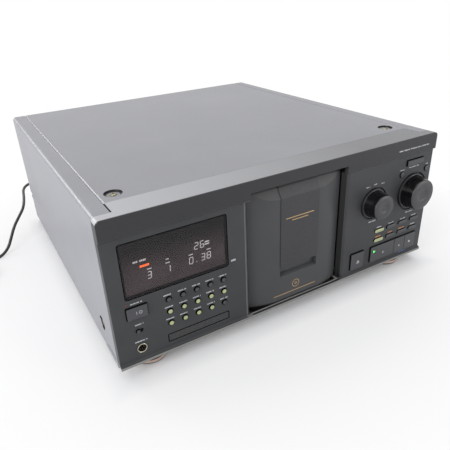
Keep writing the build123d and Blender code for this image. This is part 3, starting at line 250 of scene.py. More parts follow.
def cover_finish(looks):
    """Satin paint, with painted shade where it turns down into the screw dimples and a painted dark reflection along
    the bends.
    """
    mat = finish("satin_cover", looks.cover, rough=0.36, tone=0.05, patch=9, grain=1600, bump=0.07,
                 rough_spread=0.07, specks=0.35)
    tree = mat.node_tree
    parts = parts_of(tree)
    across = math_node(tree, "ABSOLUTE", parts[0])
    # painted shade: a dark ring on the walls of each screw dimple
    for flat, screw, low, high, level, middle in (
        ((across, parts[1]), TOP_SCREW[:2], 6.6, 9.3, parts[2], 0.165),  # the dimples on top
        (parts[1:], SIDE_SCREW[1:], 5.8, 8.2, across, 0.205),  # the dimples in the sides
    ):
        squares = [math_node(tree, "POWER", math_node(tree, "ABSOLUTE", math_node(tree, "SUBTRACT", part, spot)), 2)
                   for part, spot in zip(flat, screw)]
        reach = math_node(tree, "SQRT", math_node(tree, "ADD", *squares))
        ring = math_node(tree, "COMPARE", reach, (low + high) / 2 * MM, (high - low) / 2 * MM)
        share = math_node(tree, "MULTIPLY", ring, math_node(tree, "GREATER_THAN", level, middle))
        tint(mat, share, (0.030, 0.030, 0.032))
    past = [math_node(tree, "GREATER_THAN", part, edge)
            for part, edge in ((across, COVER_SIDE - 1.4 * MM), (parts[2], COVER_TOP - 1.6 * MM))]
    tint(mat, math_node(tree, "MULTIPLY", *past), (0.12, 0.12, 0.13))  # painted reflection: the bend between top and side darkened where it mirrors something dark
    return mat


SHELF = ((1, FACE_Y + 1.2 * MM, FACE_Y + 60 * MM), (2, 0.1775, 0.183))  # the panel's top, from its band to the cover


def panel_finish(looks):
    """The panel's plastic: satin field and darker band, with painted light on the paler shelf, the left bevel and the
    lower lip, and painted shade in a black doorway.
    """
    mat = finish("panel_moulding", looks.panel, rough=0.42, tone=0.12, grain=1400, bump=0.10, specks=0.25, ior=1.4)
    tree = mat.node_tree
    shader = tree.nodes["Principled BSDF"]
    parts = parts_of(tree)
    lit_left_bevel = ((0, -66 * MM, -58.9 * MM), (1, FACE_Y + 0.3 * MM, FACE_Y + 7.5 * MM), (2, 0.017, 0.166))
    band_face = ((1, FACE_Y - MM, FACE_Y + 1.1 * MM), (2, PANEL_FOOT + BAND_FOOT * MM, 0.183))
    throat = ((0, -66 * MM, 78 * MM), (1, FACE_Y + 10.2 * MM, FACE_Y + 60 * MM), (2, 0.0181, 0.170))
    mouth = ((0, -58 * MM, 78 * MM), (1, FACE_Y + 5.4 * MM, FACE_Y + 11 * MM), (2, 0.0181, 0.170))
    for limits, colour in (
        (((2, PANEL_FOOT - MM, PANEL_FOOT + 2.9 * MM),), (0.22, 0.22, 0.21)),  # painted light: the lower lip's lit top
        # painted light: the shelf, the panel's lit top, paler than the field
        (SHELF, (0.205, 0.205, 0.215)),
        # painted light: a highlight along the doorway's left bevel
        (lit_left_bevel, (0.13, 0.13, 0.128)),
        (band_face, (0.030, 0.030, 0.032)),
        # painted shade: the doorway's throat and mouth in black
        (throat, (0.001,) * 3),
        (mouth, (0.001,) * 3),
    ):
        tint(mat, within(tree, parts, limits), colour)
    # painted light: the shelf grows paler towards the left
    left = spread(tree, parts[0], 0.10, -0.22, 0, 0.8)
    tint(mat, math_node(tree, "MULTIPLY", within(tree, parts, SHELF), left), (0.56, 0.56, 0.58))
    band = spread(tree, parts[2], PANEL_FOOT + 145 * MM, PANEL_FOOT + 147 * MM, 0, -0.05)
    rough = math_node(tree, "ADD", shader.inputs["Roughness"].links[0].from_socket, band)
    join(tree, rough, shader.inputs["Roughness"])
    return mat


def dress(names, material):
    """Gives the material to every slot of the named CAD nodes."""
    for name in names:
        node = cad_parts[name]
        if not node.material_slots:
            node.data.materials.append(material)
        for slot in node.material_slots:
            slot.material = material


# ------------------------------------------------------------------ shapes
def skin(bm, rings, indices=None):
    """A closed skin over the rings; a ring of one point is a pole. The index sets each band's material."""
    loops = [[bm.verts.new(point) for point in ring] for ring in rings]
    for number, (first, second) in enumerate(zip(loops, loops[1:])):
        index = indices[number] if indices else 0
        count = max(len(first), len(second))
        for k in range(count):
            corners = [first[k % len(first)], first[(k + 1) % len(first)],
                       second[(k + 1) % len(second)], second[k % len(second)]]
            corners = list(dict.fromkeys(corners))
            bm.faces.new(corners).material_index = index
    for loop, index in ((loops[0], indices[0] if indices else 0), (loops[-1], indices[-1] if indices else 0)):
        if len(loop) > 2:
            bm.faces.new(loop).material_index = index


def solid(rings, indices=None):
    """A mesh with one closed skin."""
    bm = bmesh.new()
    skin(bm, rings, indices)
    return bm


def closed_band(bm, rings):
    """A closed band of a constant section: each ring closes on itself, and the last joins the first."""
    loops = [[bm.verts.new(point) for point in ring] for ring in rings]
    for near, far in zip(loops, loops[1:] + loops[:1]):
        for k, point in enumerate(near):
            following = (k + 1) % len(near)
            bm.faces.new((point, near[following], far[following], far[k]))


def shaped(name, bm, sharp=32.0):
    """An object of the mesh, with smooth faces that look outwards and sharp corners."""
    bmesh.ops.recalc_face_normals(bm, faces=bm.faces[:])
    for edge in bm.edges:
        edge.smooth = len(edge.link_faces) == 2 and edge.calc_face_angle(0) < math.radians(sharp)
    for face in bm.faces:
        face.smooth = True
    mesh = bpy.data.meshes.new(name)
    bm.to_mesh(mesh)
    bm.free()
    item = bpy.data.objects.new(name, mesh)
    bpy.context.scene.collection.objects.link(item)
    return item


def make(name, bm, materials, body, replaces=(), sharp=32.0):
    """A piece of the mesh, riding on its body."""
    return settle(shaped(name, bm, sharp), materials, body, replaces)


def settle(piece, materials, body, replaces=()):
    """Gives the piece its materials and lets it ride on its body."""
    if not piece.users_collection:
        bpy.context.scene.collection.objects.link(piece)
    for material in materials:
        piece.data.materials.append(material)
    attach(piece, body)
    if replaces:
        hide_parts(*replaces)
    return piece


def circle(x, height, radius, depth, steps=48):
    """A ring of points about an axis that runs from front to rear; one point where the radius is nothing."""
    if radius <= 0:
        return [place(x, height, depth)]
    turn = 2 * math.pi / steps
    return [place(x + radius * math.cos(k * turn), height + radius * math.sin(k * turn), depth) for k in range(steps)]


def stadium(x, height, length, thick, depth, steps=10):
    """A pill's outline at one depth."""
    radius, reach = thick / 2, (length - thick) / 2
    points = []
    for side in (1, -1):
        for k in range(steps + 1):
            angle = math.pi * (k / steps - 0.5) + (0 if side > 0 else math.pi)
            points.append(place(x + side * reach + radius * math.cos(angle), height + radius * math.sin(angle), depth))
    return points


def rounded(x, height, width, tall, radius, depth, steps=4):
    """A rectangle's outline with rounded corners at one depth."""
    points = []
    for sx, sz, start in ((1, 1, 0), (-1, 1, 1), (-1, -1, 2), (1, -1, 3)):
        for k in range(steps + 1):
            angle = (start + k / steps) * math.pi / 2
            points.append(place(x + sx * (width / 2 - radius) + radius * math.cos(angle),
                                height + sz * (tall / 2 - radius) + radius * math.sin(angle), depth))
    return points


def bar(bm, x, height, width, tall, front, back, lean=0.0):
    """A flat stroke between two depths, leaning to the right by its top."""
    skin(bm, [[place(x + a * width / 2 + b * lean, height + b * tall / 2, depth) for a, b in CORNERS]
              for depth in (back, front)])


def edging(bm, sizes, wide):
    """A flat line on the field, as wide as given, inside a rounded rectangle of these sizes."""
    x, height, length, tall, radius = sizes
    edges = []
    for trim, lift in ((0, 0.08), (0, -0.04), (wide, -0.04), (wide, 0.08)):
        corner = max(0.2, radius - trim)
        edges.append(rounded(x, height, length - 2 * trim, tall - 2 * trim, corner, FIELD + lift))
    closed_band(bm, edges)


# ------------------------------------------------------------------ repeats
def new_tree(name, inputs):
    """An empty geometry tree with these named inputs, and its first and last node."""
    tree = bpy.data.node_groups.new(name, "GeometryNodeTree")
    tree.interface.new_socket("Geometry", in_out="INPUT", socket_type="NodeSocketGeometry")
    for label, kind in inputs:
        tree.interface.new_socket(label, in_out="INPUT", socket_type="NodeSocket" + kind)
    tree.interface.new_socket("Geometry", in_out="OUTPUT", socket_type="NodeSocketGeometry")
    return tree, add(tree, "NodeGroupInput"), add(tree, "NodeGroupOutput")


def end_tree(tree, source, first, last):
    """Ends the tree in Realize Instances and Set Material."""
    real = add(tree, "GeometryNodeRealizeInstances", Geometry=source)
    paint = add(tree, "GeometryNodeSetMaterial", Geometry=real.outputs["Geometry"], Material=first.outputs["Material"])
    join(tree, paint.outputs["Geometry"], last.inputs["Geometry"])


def strokes_tree():
    """Small flat strokes on points, their widths varied by a fixed seed."""
    tree = bpy.data.node_groups.get("printed_strokes")
    if tree:
        return tree
    tree, first, last = new_tree("printed_strokes", (("Width", "Float"), ("Thickness", "Float"), ("Height", "Float"),
                                                     ("Variation", "Float"), ("Seed", "Int"), ("Material", "Material")))
    given = first.outputs
    size = add(tree, "ShaderNodeCombineXYZ", X=given["Width"], Y=given["Thickness"], Z=given["Height"])
    block = add(tree, "GeometryNodeMeshCube", Size=size.outputs["Vector"])
    chance = add(tree, "FunctionNodeRandomValue", data_type="FLOAT", Seed=given["Seed"])
    low, high = [s for s in chance.inputs if s.type == "VALUE" and s.name in ("Min", "Max")][:2]
    join(tree, math_node(tree, "SUBTRACT", 1.0, given["Variation"]), low)
    high.default_value = 1.0
    drawn = [s for s in chance.outputs if s.type == "VALUE"][0]
    scale = add(tree, "ShaderNodeCombineXYZ", X=drawn, Y=1.0, Z=1.0)
    copies = add(tree, "GeometryNodeInstanceOnPoints", Points=given["Geometry"], Instance=block.outputs["Mesh"],
                 Scale=scale.outputs["Vector"])
    end_tree(tree, copies.outputs["Instances"], first, last)
    return tree


def copies_tree():
    """Copies of one piece on points, each turned so that its own Z looks along the point's facing."""
    tree = bpy.data.node_groups.get("piece_copies")
    if tree:
        return tree
    tree, first, last = new_tree("piece_copies", (("Piece", "Object"), ("Size", "Float"), ("Material", "Material")))
    given = first.outputs
    piece = add(tree, "GeometryNodeObjectInfo", Object=given["Piece"])
    facing = add(tree, "GeometryNodeInputNamedAttribute", data_type="FLOAT_VECTOR", Name="facing")
    turn = add(tree, "FunctionNodeAlignRotationToVector", axis="Z", Vector=facing.outputs["Attribute"])
    copies = add(tree, "GeometryNodeInstanceOnPoints", Points=given["Geometry"], Instance=piece.outputs["Geometry"],
                 Rotation=turn.outputs["Rotation"], Scale=given["Size"])
    end_tree(tree, copies.outputs["Instances"], first, last)
    return tree


def grown(name, points, tree, values, body, replaces=(), facings=None):
    """Runs the tree on the points and keeps its result as a plain mesh piece."""
    mesh = bpy.data.meshes.new(name + "_points")
    mesh.from_pydata([tuple(point) for point in points], [], [])
    if facings:
        data = mesh.attributes.new("facing", "FLOAT_VECTOR", "POINT").data
        for item, facing in zip(data, facings):
            item.vector = facing
    host = bpy.data.objects.new(name + "_host", mesh)
    bpy.context.scene.collection.objects.link(host)
    modifier = host.modifiers.new("repeat", "NODES")
    modifier.node_group = tree
    sockets = {item.name: item.identifier for item in tree.interface.items_tree if item.in_out == "INPUT"}
    for label, value in values.items():
        modifier[sockets[label]] = value
    depsgraph = bpy.context.evaluated_depsgraph_get()
    result = bpy.data.meshes.new_from_object(host.evaluated_get(depsgraph))
    host.modifiers.clear()
    bpy.data.objects.remove(host)
    return settle(bpy.data.objects.new(name, result), (), body, replaces)


def upright(rings, steps=48):
    """Rings about the Z axis from (radius, height) pairs in millimetres."""
    turn = 2 * math.pi / steps
    out = []
    for radius, height in rings:
        if radius <= 0:
            out.append([Vector((0, 0, height * MM))])
        else:
            out.append([Vector((radius * MM * math.cos(k * turn), radius * MM * math.sin(k * turn), height * MM))
                        for k in range(steps)])
    return out


def copied(name, bm, spots, facings, material, body, replaces=()):
    """Copies of the shape on the spots, as one plain mesh."""
    source = shaped(name + "_shape", bm)
    piece = grown(name, spots, copies_tree(), {"Piece": source, "Size": 1.0, "Material": material},
                  body, replaces, facings)
    bpy.data.objects.remove(source)
    return piece


def label_points(x, height, width, pitch, words, seed, depth=FIELD):
    """Places of the strokes of one generic mark, parted into groups."""
    rng = random.Random(seed)
    count = max(2, int(width / pitch))
    start = x - width / 2
    points, run = [], rng.randint(*words)
    for k in range(count):
        run -= 1
        if run < 0:
            run = rng.randint(*words)
            continue
        points.append(place(start + (k + 0.5) * pitch, height, depth))
    return points


# ------------------------------------------------------------------ stage
def blended(tree, share, first, second, last):
    """Leads the two shaders to the last node, the second by its share."""
    mix = add(tree, "ShaderNodeMixShader", Fac=share)
    for number, shader in ((1, first), (2, second)):
        join(tree, shader, mix.inputs[number])
    join(tree, mix.outputs["Shader"], last.inputs["Surface"])


def stage(settings):
    """Camera at the photograph's angle, lamps, world and floor."""
    scene = bpy.context.scene
    azimuth, elevation, roll = settings.azimuth, settings.elevation, settings.roll
    forward = Vector((math.sin(azimuth) * math.cos(elevation), math.cos(azimuth) * math.cos(elevation),
                      -math.sin(elevation)))
    right = forward.cross(Vector((0, 0, 1))).normalized()
    up = right.cross(forward)
    right, up = (math.cos(roll) * right + math.sin(roll) * up, -math.sin(roll) * right + math.cos(roll) * up)
    lens = bpy.data.cameras.new("camera")
    lens.lens, lens.sensor_width, lens.clip_start, lens.clip_end = settings.lens, 36.0, 0.02, 60.0
    camera = bpy.data.objects.new("camera", lens)
    turn = Matrix((right, up, -forward)).transposed().to_4x4()
    camera.matrix_world = Matrix.Translation(Vector(settings.spot)) @ turn
    scene.collection.objects.link(camera)
    scene.camera = camera
    scene.view_settings.view_transform = "Standard"

    for name, power, spot, size, aim in (
        ("top_lamp", settings.top_lamp, (0.35, 0.55, 2.0), 1.9, (0, 0, 0.1)),
        ("left_lamp", settings.left_lamp, (-1.75, -0.80, 0.85), 0.9, (0, -0.1, 0.1)),
        ("right_lamp", settings.right_lamp, (1.25, -1.65, 0.30), 1.0, (0, -0.2, 0.1)),
        ("rear_lamp", settings.rear_lamp, (-1.1, 1.9, 1.0), 0.7, (0.1, -0.2, 0.1)),
    ):
        lamp = bpy.data.lights.new(name, "AREA")
        lamp.energy, lamp.size = power, size
        item = bpy.data.objects.new(name, lamp)
        item.location = spot
        item.rotation_euler = (Vector(spot) - Vector(aim)).to_track_quat("Z", "Y").to_euler()
        scene.collection.objects.link(item)

    world = scene.world or bpy.data.worlds.new("studio")
    scene.world = world
    world.use_nodes = True
    tree = world.node_tree
    tree.nodes.clear()
    path = add(tree, "ShaderNodeLightPath").outputs
    seen = math_node(tree, "MAXIMUM", path["Is Camera Ray"], path["Is Transmission Ray"])
    seen = math_node(tree, "MAXIMUM", seen, path["Is Glossy Ray"])
    even = add(tree, "ShaderNodeBackground", Color=(0.95, 0.97, 1, 1), Strength=settings.ambient)
    white = add(tree, "ShaderNodeBackground", Color=(1, 1, 1, 1), Strength=1.0)
    blended(tree, seen, even.outputs["Background"], white.outputs["Background"], add(tree, "ShaderNodeOutputWorld"))

    bm = bmesh.new()
    bmesh.ops.create_grid(bm, x_segments=8, y_segments=8, size=30.0)
    mesh = bpy.data.meshes.new("floor")
    bm.to_mesh(mesh)
    bm.free()
    floor = bpy.data.objects.new("floor", mesh)
    scene.collection.objects.link(floor)
    mat = finish("pale_floor", (0.90, 0.90, 0.91), rough=0.75, tone=0.01, patch=5, grain=60, bump=0.0)
    tree = mat.node_tree
    white = add(tree, "ShaderNodeEmission", Color=(1, 1, 1, 1), Strength=1.0)
    path = add(tree, "ShaderNodeLightPath").outputs
    spot = add(tree, "ShaderNodeTexCoord").outputs["Object"]
    reach = add(tree, "ShaderNodeVectorMath", operation="LENGTH", Vector=spot).outputs["Value"]
    fade = spread(tree, reach, 0.30, 0.47, 0.56)  # towards plain white, away from the changer
    beyond = [math_node(tree, "SUBTRACT", math_node(tree, "ABSOLUTE", part), edge)
              for part, edge in zip(parts_of(tree), (0.205, 0.215))]  # how far outside the changer's outline
    close = spread(tree, math_node(tree, "MAXIMUM", *beyond), 0, 0.03, 0.1)  # the shadow is deepest by the feet
    share = math_node(tree, "MULTIPLY", path["Is Camera Ray"], math_node(tree, "MULTIPLY", fade, close))
    blended(tree, share, tree.nodes["Principled BSDF"].outputs["BSDF"], white.outputs["Emission"],
            tree.nodes["Material Output"])
    mesh.materials.append(mat)


# ------------------------------------------------------------------ mains cord
CORD_ROUTE = [  # from the strain relief down to the floor and away to the coil, in metres
    (-0.172, 0.252, 0.052), (-0.172, 0.269, 0.052), (-0.182, 0.2825, 0.0515), (-0.198, 0.288, 0.0505),
    (-0.2135, 0.283, 0.0495), (-0.2235, 0.2685, 0.0475), (-0.227, 0.240, 0.0435), (-0.234, 0.210, 0.0375),
    (-0.245, 0.193, 0.031), (-0.257, 0.177, 0.023), (-0.267, 0.153, 0.015), (-0.275, 0.136, 0.0075),
    (-0.288, 0.124, 0.0024), (-0.311, 0.115, 0.0023), (-0.3355, 0.115, 0.0023),
]
COIL_X, COIL_REAR = -0.340, 0.115  # where the coil begins
COIL_LOW, COIL_HIGH = 0.0023, 0.0075  # heights of its two layers


def coil_points(settings):
    """Control points of the coil: one layer inwards, a climbing half turn, and one layer outwards on top."""
    count = settings.turn_points
    swell = 1 / (0.75 + 0.25 * math.cos(math.pi / count))  # the spline runs inside its control points
    points, y = [], COIL_REAR
    for half in range(14):
        radius = settings.coil_radius - settings.coil_step * (half if half < 8 else 14 - half)
        side = 1 if half % 2 == 0 else -1
        centre = y - side * radius
        for k in range(count):
            angle = math.pi * (k + 0.5) / count
            share = (k + 0.5) / count if half == 7 else (half > 7)
            points.append((COIL_X - side * math.sin(angle) * radius * swell,
                           centre + side * math.cos(angle) * radius * swell,
                           COIL_LOW + (COIL_HIGH - COIL_LOW) * share))
        y = centre - side * radius
    return points + [(COIL_X - step, y, COIL_HIGH) for step in (0.008, 0.022, 0.034)]


def mains_cord(settings):
    """The cord, its ribbed strain relief and its plug."""
    rubber = finish("cord_sheath", (0.030, 0.030, 0.032), rough=0.46, tone=0.2, patch=60, grain=1500, bump=0.25)
    curve = bpy.data.curves.new("mains_cord", "CURVE")
    curve.dimensions = "3D"
    curve.bevel_depth, curve.bevel_resolution, curve.resolution_u = settings.diameter / 2, 4, 8
    curve.use_fill_caps = True
    points = CORD_ROUTE + coil_points(settings)
    spline = curve.splines.new("NURBS")
    spline.points.add(len(points) - 1)
    for item, point in zip(spline.points, points):
        item.co = (*point, 1)
    spline.order_u = 3
    spline.use_endpoint_u = True
    cord = settle(bpy.data.objects.new("mains_cord", curve), (rubber,), "changer",
                  ("power_cord", "cord_coil"))

    # strain relief: flange on the panel, then ribs that grow thinner along the cord
    moulded = finish("relief_rubber", (0.028, 0.028, 0.030), rough=0.55, tone=0.15, grain=1200, bump=0.2)
    steps = [(0.0, -4.4), (6.4, -4.4), (6.4, -1.3), (4.4, -1.3), (4.4, 0.0), (6.2, 0.05), (6.45, 0.4), (6.4, 2.6),
             (5.9, 3.0), (4.7, 3.4)]
    for k in range(6):
        rib = 4.7 - 0.25 * k
        along = 4.4 + 2.7 * k
        steps += [(rib - 0.9, along), (rib - 0.9, along + 0.8), (rib, along + 1.1), (rib - 0.05, along + 2.2)]
    steps += [(3.0, 21.2), (2.6, 22.0), (0.0, 22.0)]
    rear = (REAR_Y - FACE_Y) / MM
    sleeve = solid([circle(-172, 37, radius, rear + along, 32) for radius, along in steps])
    make("strain_relief", sleeve, (moulded,), "changer", ("cord_strain_relief",), sharp=40)

    # plug: grooved neck, rounded body and two flat blades
    bm = bmesh.new()
    start = Vector((-0.374, 0.110, COIL_HIGH))
    sections = [(0.0, 4.6, 4.6), (0.3, 5.6, 5.6), (1.6, 6.2, 6.2), (1.9, 5.2, 5.2), (2.7, 5.2, 5.2), (3.0, 6.8, 6.8),
                (4.3, 7.2, 7.2), (4.6, 6.0, 6.0), (5.4, 6.0, 6.0), (5.7, 7.6, 7.6), (8.2, 11.0, 9.6),
                (10.6, 17.6, 13.4), (13.0, 19.6, 14.7), (20.0, 19.9, 14.9), (25.6, 19.8, 14.8), (27.4, 19.0, 14.0),
                (28.0, 17.6, 12.6)]
    rings = []
    for along, wide, tall in sections:
        ring = []
        power = 2.0 if along < 8 else 3.6
        for k in range(40):
            angle = 2 * math.pi * k / 40
            c, s = math.cos(angle), math.sin(angle)
            ring.append(start + Vector((-along, math.copysign(abs(c) ** (2 / power), c) * wide / 2,
                                        math.copysign(abs(s) ** (2 / power), s) * tall / 2)) * MM)
        rings.append(ring)
    skin(bm, rings)
    for side in (-1, 1):
        blade = []
        for along, trim in ((27.0, 0.0), (43.4, 0.0), (44.8, 0.25), (45.0, 0.5)):
            thick, tall = 0.75 - trim, 3.1 - trim * 1.6
            blade.append([start + Vector((-along, side * 6.35 + a * thick, b * tall)) * MM for a, b in CORNERS])
        skin(bm, blade, [1] * 3)
    nickel = finish("nickel_plate", (0.62, 0.61, 0.58), rough=0.28, metal=1.0, tone=0.06, grain=700, bump=0.03)
    plug = make("mains_plug", bm, (moulded, nickel), "changer", ("power_plug",))


# ------------------------------------------------------------------ case
def case(looks):
    """Finishes of the cover, chassis and rear, and the cross-head case screws in their dimples."""
    dress(["top_cover"], cover_finish(looks))
    dress(["rear_panel"], finish("rear_paint", (0.045, 0.046, 0.05), rough=0.45, tone=0.12, grain=1300, bump=0.08))
    zinc = finish("zinc_sheet", (0.56, 0.56, 0.54), rough=0.34, metal=1.0, tone=0.12, patch=40, grain=400,
                  stretch=(1, 7, 1), bump=0.04)
    dress(["chassis_base", "player_mechanism", "table_motor"], zinc)
    outline = ((0, -8.4), (1.1, -8.4), (1.5, -7.6), (1.5, 0), (3.36, 0), (3.36, 0.35), (3.1, 0.8), (2.4, 1.15),
               (1.2, 1.36), (0, 1.38))
    source = shaped("screw_solid", solid(upright(outline, 32)))
    bm = bmesh.new()
    for wide, tall in ((3.6, 0.72), (0.72, 3.6)):
        skin(bm, [[Vector((a * wide / 2, b * tall / 2, z)) * MM for a, b in CORNERS] for z in (0.5, 2.5)])
    cutter = shaped("screw_cross", bm)
    cut = source.modifiers.new("cross", "BOOLEAN")
    cut.object, cut.operation, cut.solver = cutter, "DIFFERENCE", "EXACT"
    cut.use_self = True
    depsgraph = bpy.context.evaluated_depsgraph_get()
    bm = bmesh.new()
    bm.from_mesh(source.evaluated_get(depsgraph).to_mesh())
    bpy.data.objects.remove(source)
    bpy.data.objects.remove(cutter)
    sunk = 1.8 * MM  # the heads sit this deep in their dimples
    x, y, z = TOP_SCREW
    spots = [Vector((side * x, y, z - sunk)) for side in (-1, 1)]
    x, y, z = SIDE_SCREW
    spots += [Vector((side * (x - sunk), y, z)) for side in (-1, 1)]
    facings = [(0, 0, 1), (0, 0, 1), (-1, 0, 0), (1, 0, 0)]
    yellow = finish("yellow_zinc", (0.27, 0.25, 0.17), rough=0.40, metal=1.0, tone=0.2, patch=300, bump=0.05)
    copied("cross_screws", bm, spots, facings, yellow, "changer", ("case_screws",))


def feet():
    """Round feet with a copper coloured ring."""
    spots = [Vector((x * MM, y * MM, 0)) for x in (-176, 176) for y in (-192, 188)]
    facings = [(0, 0, 1)] * 4
    outline = ((0, 1.0), (11, 1.0), (12, 0.0), (17, 0.0), (18.6, 0.6), (19.4, 2.0), (19.4, 6.0), (18.8, 6.4),
               (17.4, 8.6), (16.2, 10.0), (0, 10.0))
    rubber = finish("foot_moulding", (0.030, 0.029, 0.029), tone=0.15, bump=0.15)
    copied("foot_bases", solid(upright(outline, 64)), spots, facings, rubber, "changer", ("feet",))
    bm = bmesh.new()
    closed_band(bm, upright(((19.2, 2.5), (19.85, 2.6), (20.0, 3.4), (20.0, 5.0), (19.85, 5.7), (19.2, 5.8)), 64))
    copper = finish("copper_ring", (0.66, 0.50, 0.43), rough=0.30, metal=1.0, tone=0.12, patch=120, bump=0.04)
    copied("foot_rings", bm, spots, facings, copper, "changer")


# ------------------------------------------------------------------ front
ROUND_PLACES = [(-156.4 + 15.65 * (k % 5), 63.0 - 14.45 * (k // 5)) for k in range(15)]
PILL_PLACES = [(134.0 + 20.9 * (k % 4), 52.7 - 13.4 * (k // 4)) for k in range(8)]
SPOT_PLACES = [(207.0, 120.0), (163.4, 120.3)]
BIG_DIAL, SMALL_DIAL = (185.8, 93.5), (119.5, 93.7)
SOCKET = (-190.3, 17.2)
PALE_ROUNDS = range(6, 15)
PALE_PILLS = (1, 5)
WINDOW, STRIP = (-143.0, 107.2), (-125.1, 15.65)  # middles of the display window and of the inlay strip
AMBER_PILLS = (4, 5, 6)  # the pills with amber labels, counted from 0


def front(looks, controls):
    """The panel's plastic, the inlay strip and every printed mark of its field and band."""
    dress(["front_panel"], panel_finish(looks))
    ink = finish("white_ink", looks.print_white, rough=0.6, tone=0.08, grain=3000, bump=0.0)
    amber = finish("amber_ink", (0.62, 0.24, 0.07), rough=0.6, tone=0.08, bump=0.0)
    blue = finish("blue_ink", (0.10, 0.22, 0.55), rough=0.6, tone=0.08, bump=0.0)

    # each label: x, height, width, pitch of its strokes, strokes in a group, seed
    pills = list(enumerate(PILL_PLACES))
    labels = [(x - 0.5, height + 5.2, 9.4, 1.02, (5, 9), number) for number, (x, height) in enumerate(ROUND_PLACES)]
    labels += [(-189.4, 71.7, 12.0, 1.0, (8, 12), 21), (-189.6, 46.2, 9.0, 1.0, (6, 9), 22),
               (-189.6, 25.8, 13.8, 1.0, (8, 12), 23)]
    labels += [(x, height + 4.7, 9.5, 1.02, (4, 9), 30 + number) for number, (x, height) in pills
               if number not in AMBER_PILLS]
    labels += [(107.5, 117.4, 6.5, 1.0, (3, 5), 41), (119.5, 118.6, 6.5, 1.0, (3, 5), 42),
               (131.5, 117.4, 5.0, 1.0, (3, 5), 43), (119.5, 69.2, 12.0, 1.0, (4, 6), 44),
               (185.8, 64.9, 13.0, 1.0, (4, 6), 45), (184.0, 127.2, 18.0, 1.0, (4, 8), 46),
               (163.4, 126.3, 8.0, 1.0, (4, 8), 47), (207.0, 126.0, 4.0, 1.0, (4, 8), 48)]
    amber_labels = [(x, height + 4.7, 10.5 - 2 * (number == 5), 1.02, (6, 10), 60 + number)
                    for number, (x, height) in pills if number in AMBER_PILLS]
    for name, rows, wide, tall, material in (
        ("field_marks", labels, 0.95, 1.25, ink),
        ("band_marks", [(176.0, 153.2, 52.0, 1.15, (5, 9), 51, 0.0)], 0.95, 1.5, ink),
        ("window_mark", [(-80.3, 82.0, 6.2, 1.1, (3, 6), 52)], 1.0, 2.1, ink),
        ("amber_marks", amber_labels, 0.98, 1.3, amber),
        ("blue_marks", [(184.0, 6.2, 15.0, 1.0, (4, 6), 71)], 0.95, 0.9, blue),
    ):
        grown(name, [point for row in rows for point in label_points(*row)], strokes_tree(),
              {"Width": wide * MM, "Thickness": 2 * controls.mark_lift, "Height": tall * MM, "Variation": 0.45,
               "Seed": 3, "Material": material}, "changer")

    # thin frames of painted shade along the gaps round the window and round the inlay strip under the round buttons
    bm = bmesh.new()
    edging(bm, (*STRIP, 73.2, 10.3, 1.4), 1.15)
    edging(bm, (*WINDOW, 113.6, 60.6, 2.6), 0.85)
    make("black_outlines", bm, (painted_gap_black(),), "changer")
    sheet = solid([rounded(*STRIP, 71.1, 8.2, 0.5, depth) for depth in (FIELD + 0.1, FIELD - 0.03)])
    inlay = finish("inlay_sheet", (0.036, 0.036, 0.037), rough=0.30, grain=1500, bump=0.05)
    make("inlay_strip", sheet, (inlay,), "changer")

    # power lamp beside its label
    lens = solid([circle(-199.0, 71.7, r, d, 20) for r, d in ((0.9, 3.1), (0.9, 2.9), (0.7, 2.7), (0, 2.6))])
    red = finish("lamp_lens", (0.16, 0.03, 0.03), rough=0.2, bump=0.0)
    make("power_lamp", lens, (red,), "changer")


SEGMENTS = {"0": "abcdef", "1": "bc", "2": "abged", "3": "abgcd", "4": "fgbc", "5": "afgcd", "6": "afgedc", "7": "abc",
            "8": "abcdefg", "9": "abcdfg"}
LIT = (7.12, 7.3)  # depths of a lit stroke on the face of the display tube


def digit(bm, x, height, character, wide=3.9, tall=7.2, stroke=0.75):
    """A lit seven-segment digit on the display tube, leaning a little."""
    lean, half = 0.035 * tall, tall / 2
    for part in SEGMENTS[character]:
        if part in "agd":
            rise = {"a": half, "g": 0, "d": -half}[part]
            bar(bm, x + rise * 0.07, height + rise, wide - stroke * 0.9, stroke, *LIT)
        else:
            side = 1 if part in "bc" else -1
            rise = half / 2 if part in "bf" else -half / 2
            bar(bm, x + side * wide / 2 + rise * 0.07, height + rise, stroke, half - stroke * 0.7, *LIT, lean / 4)


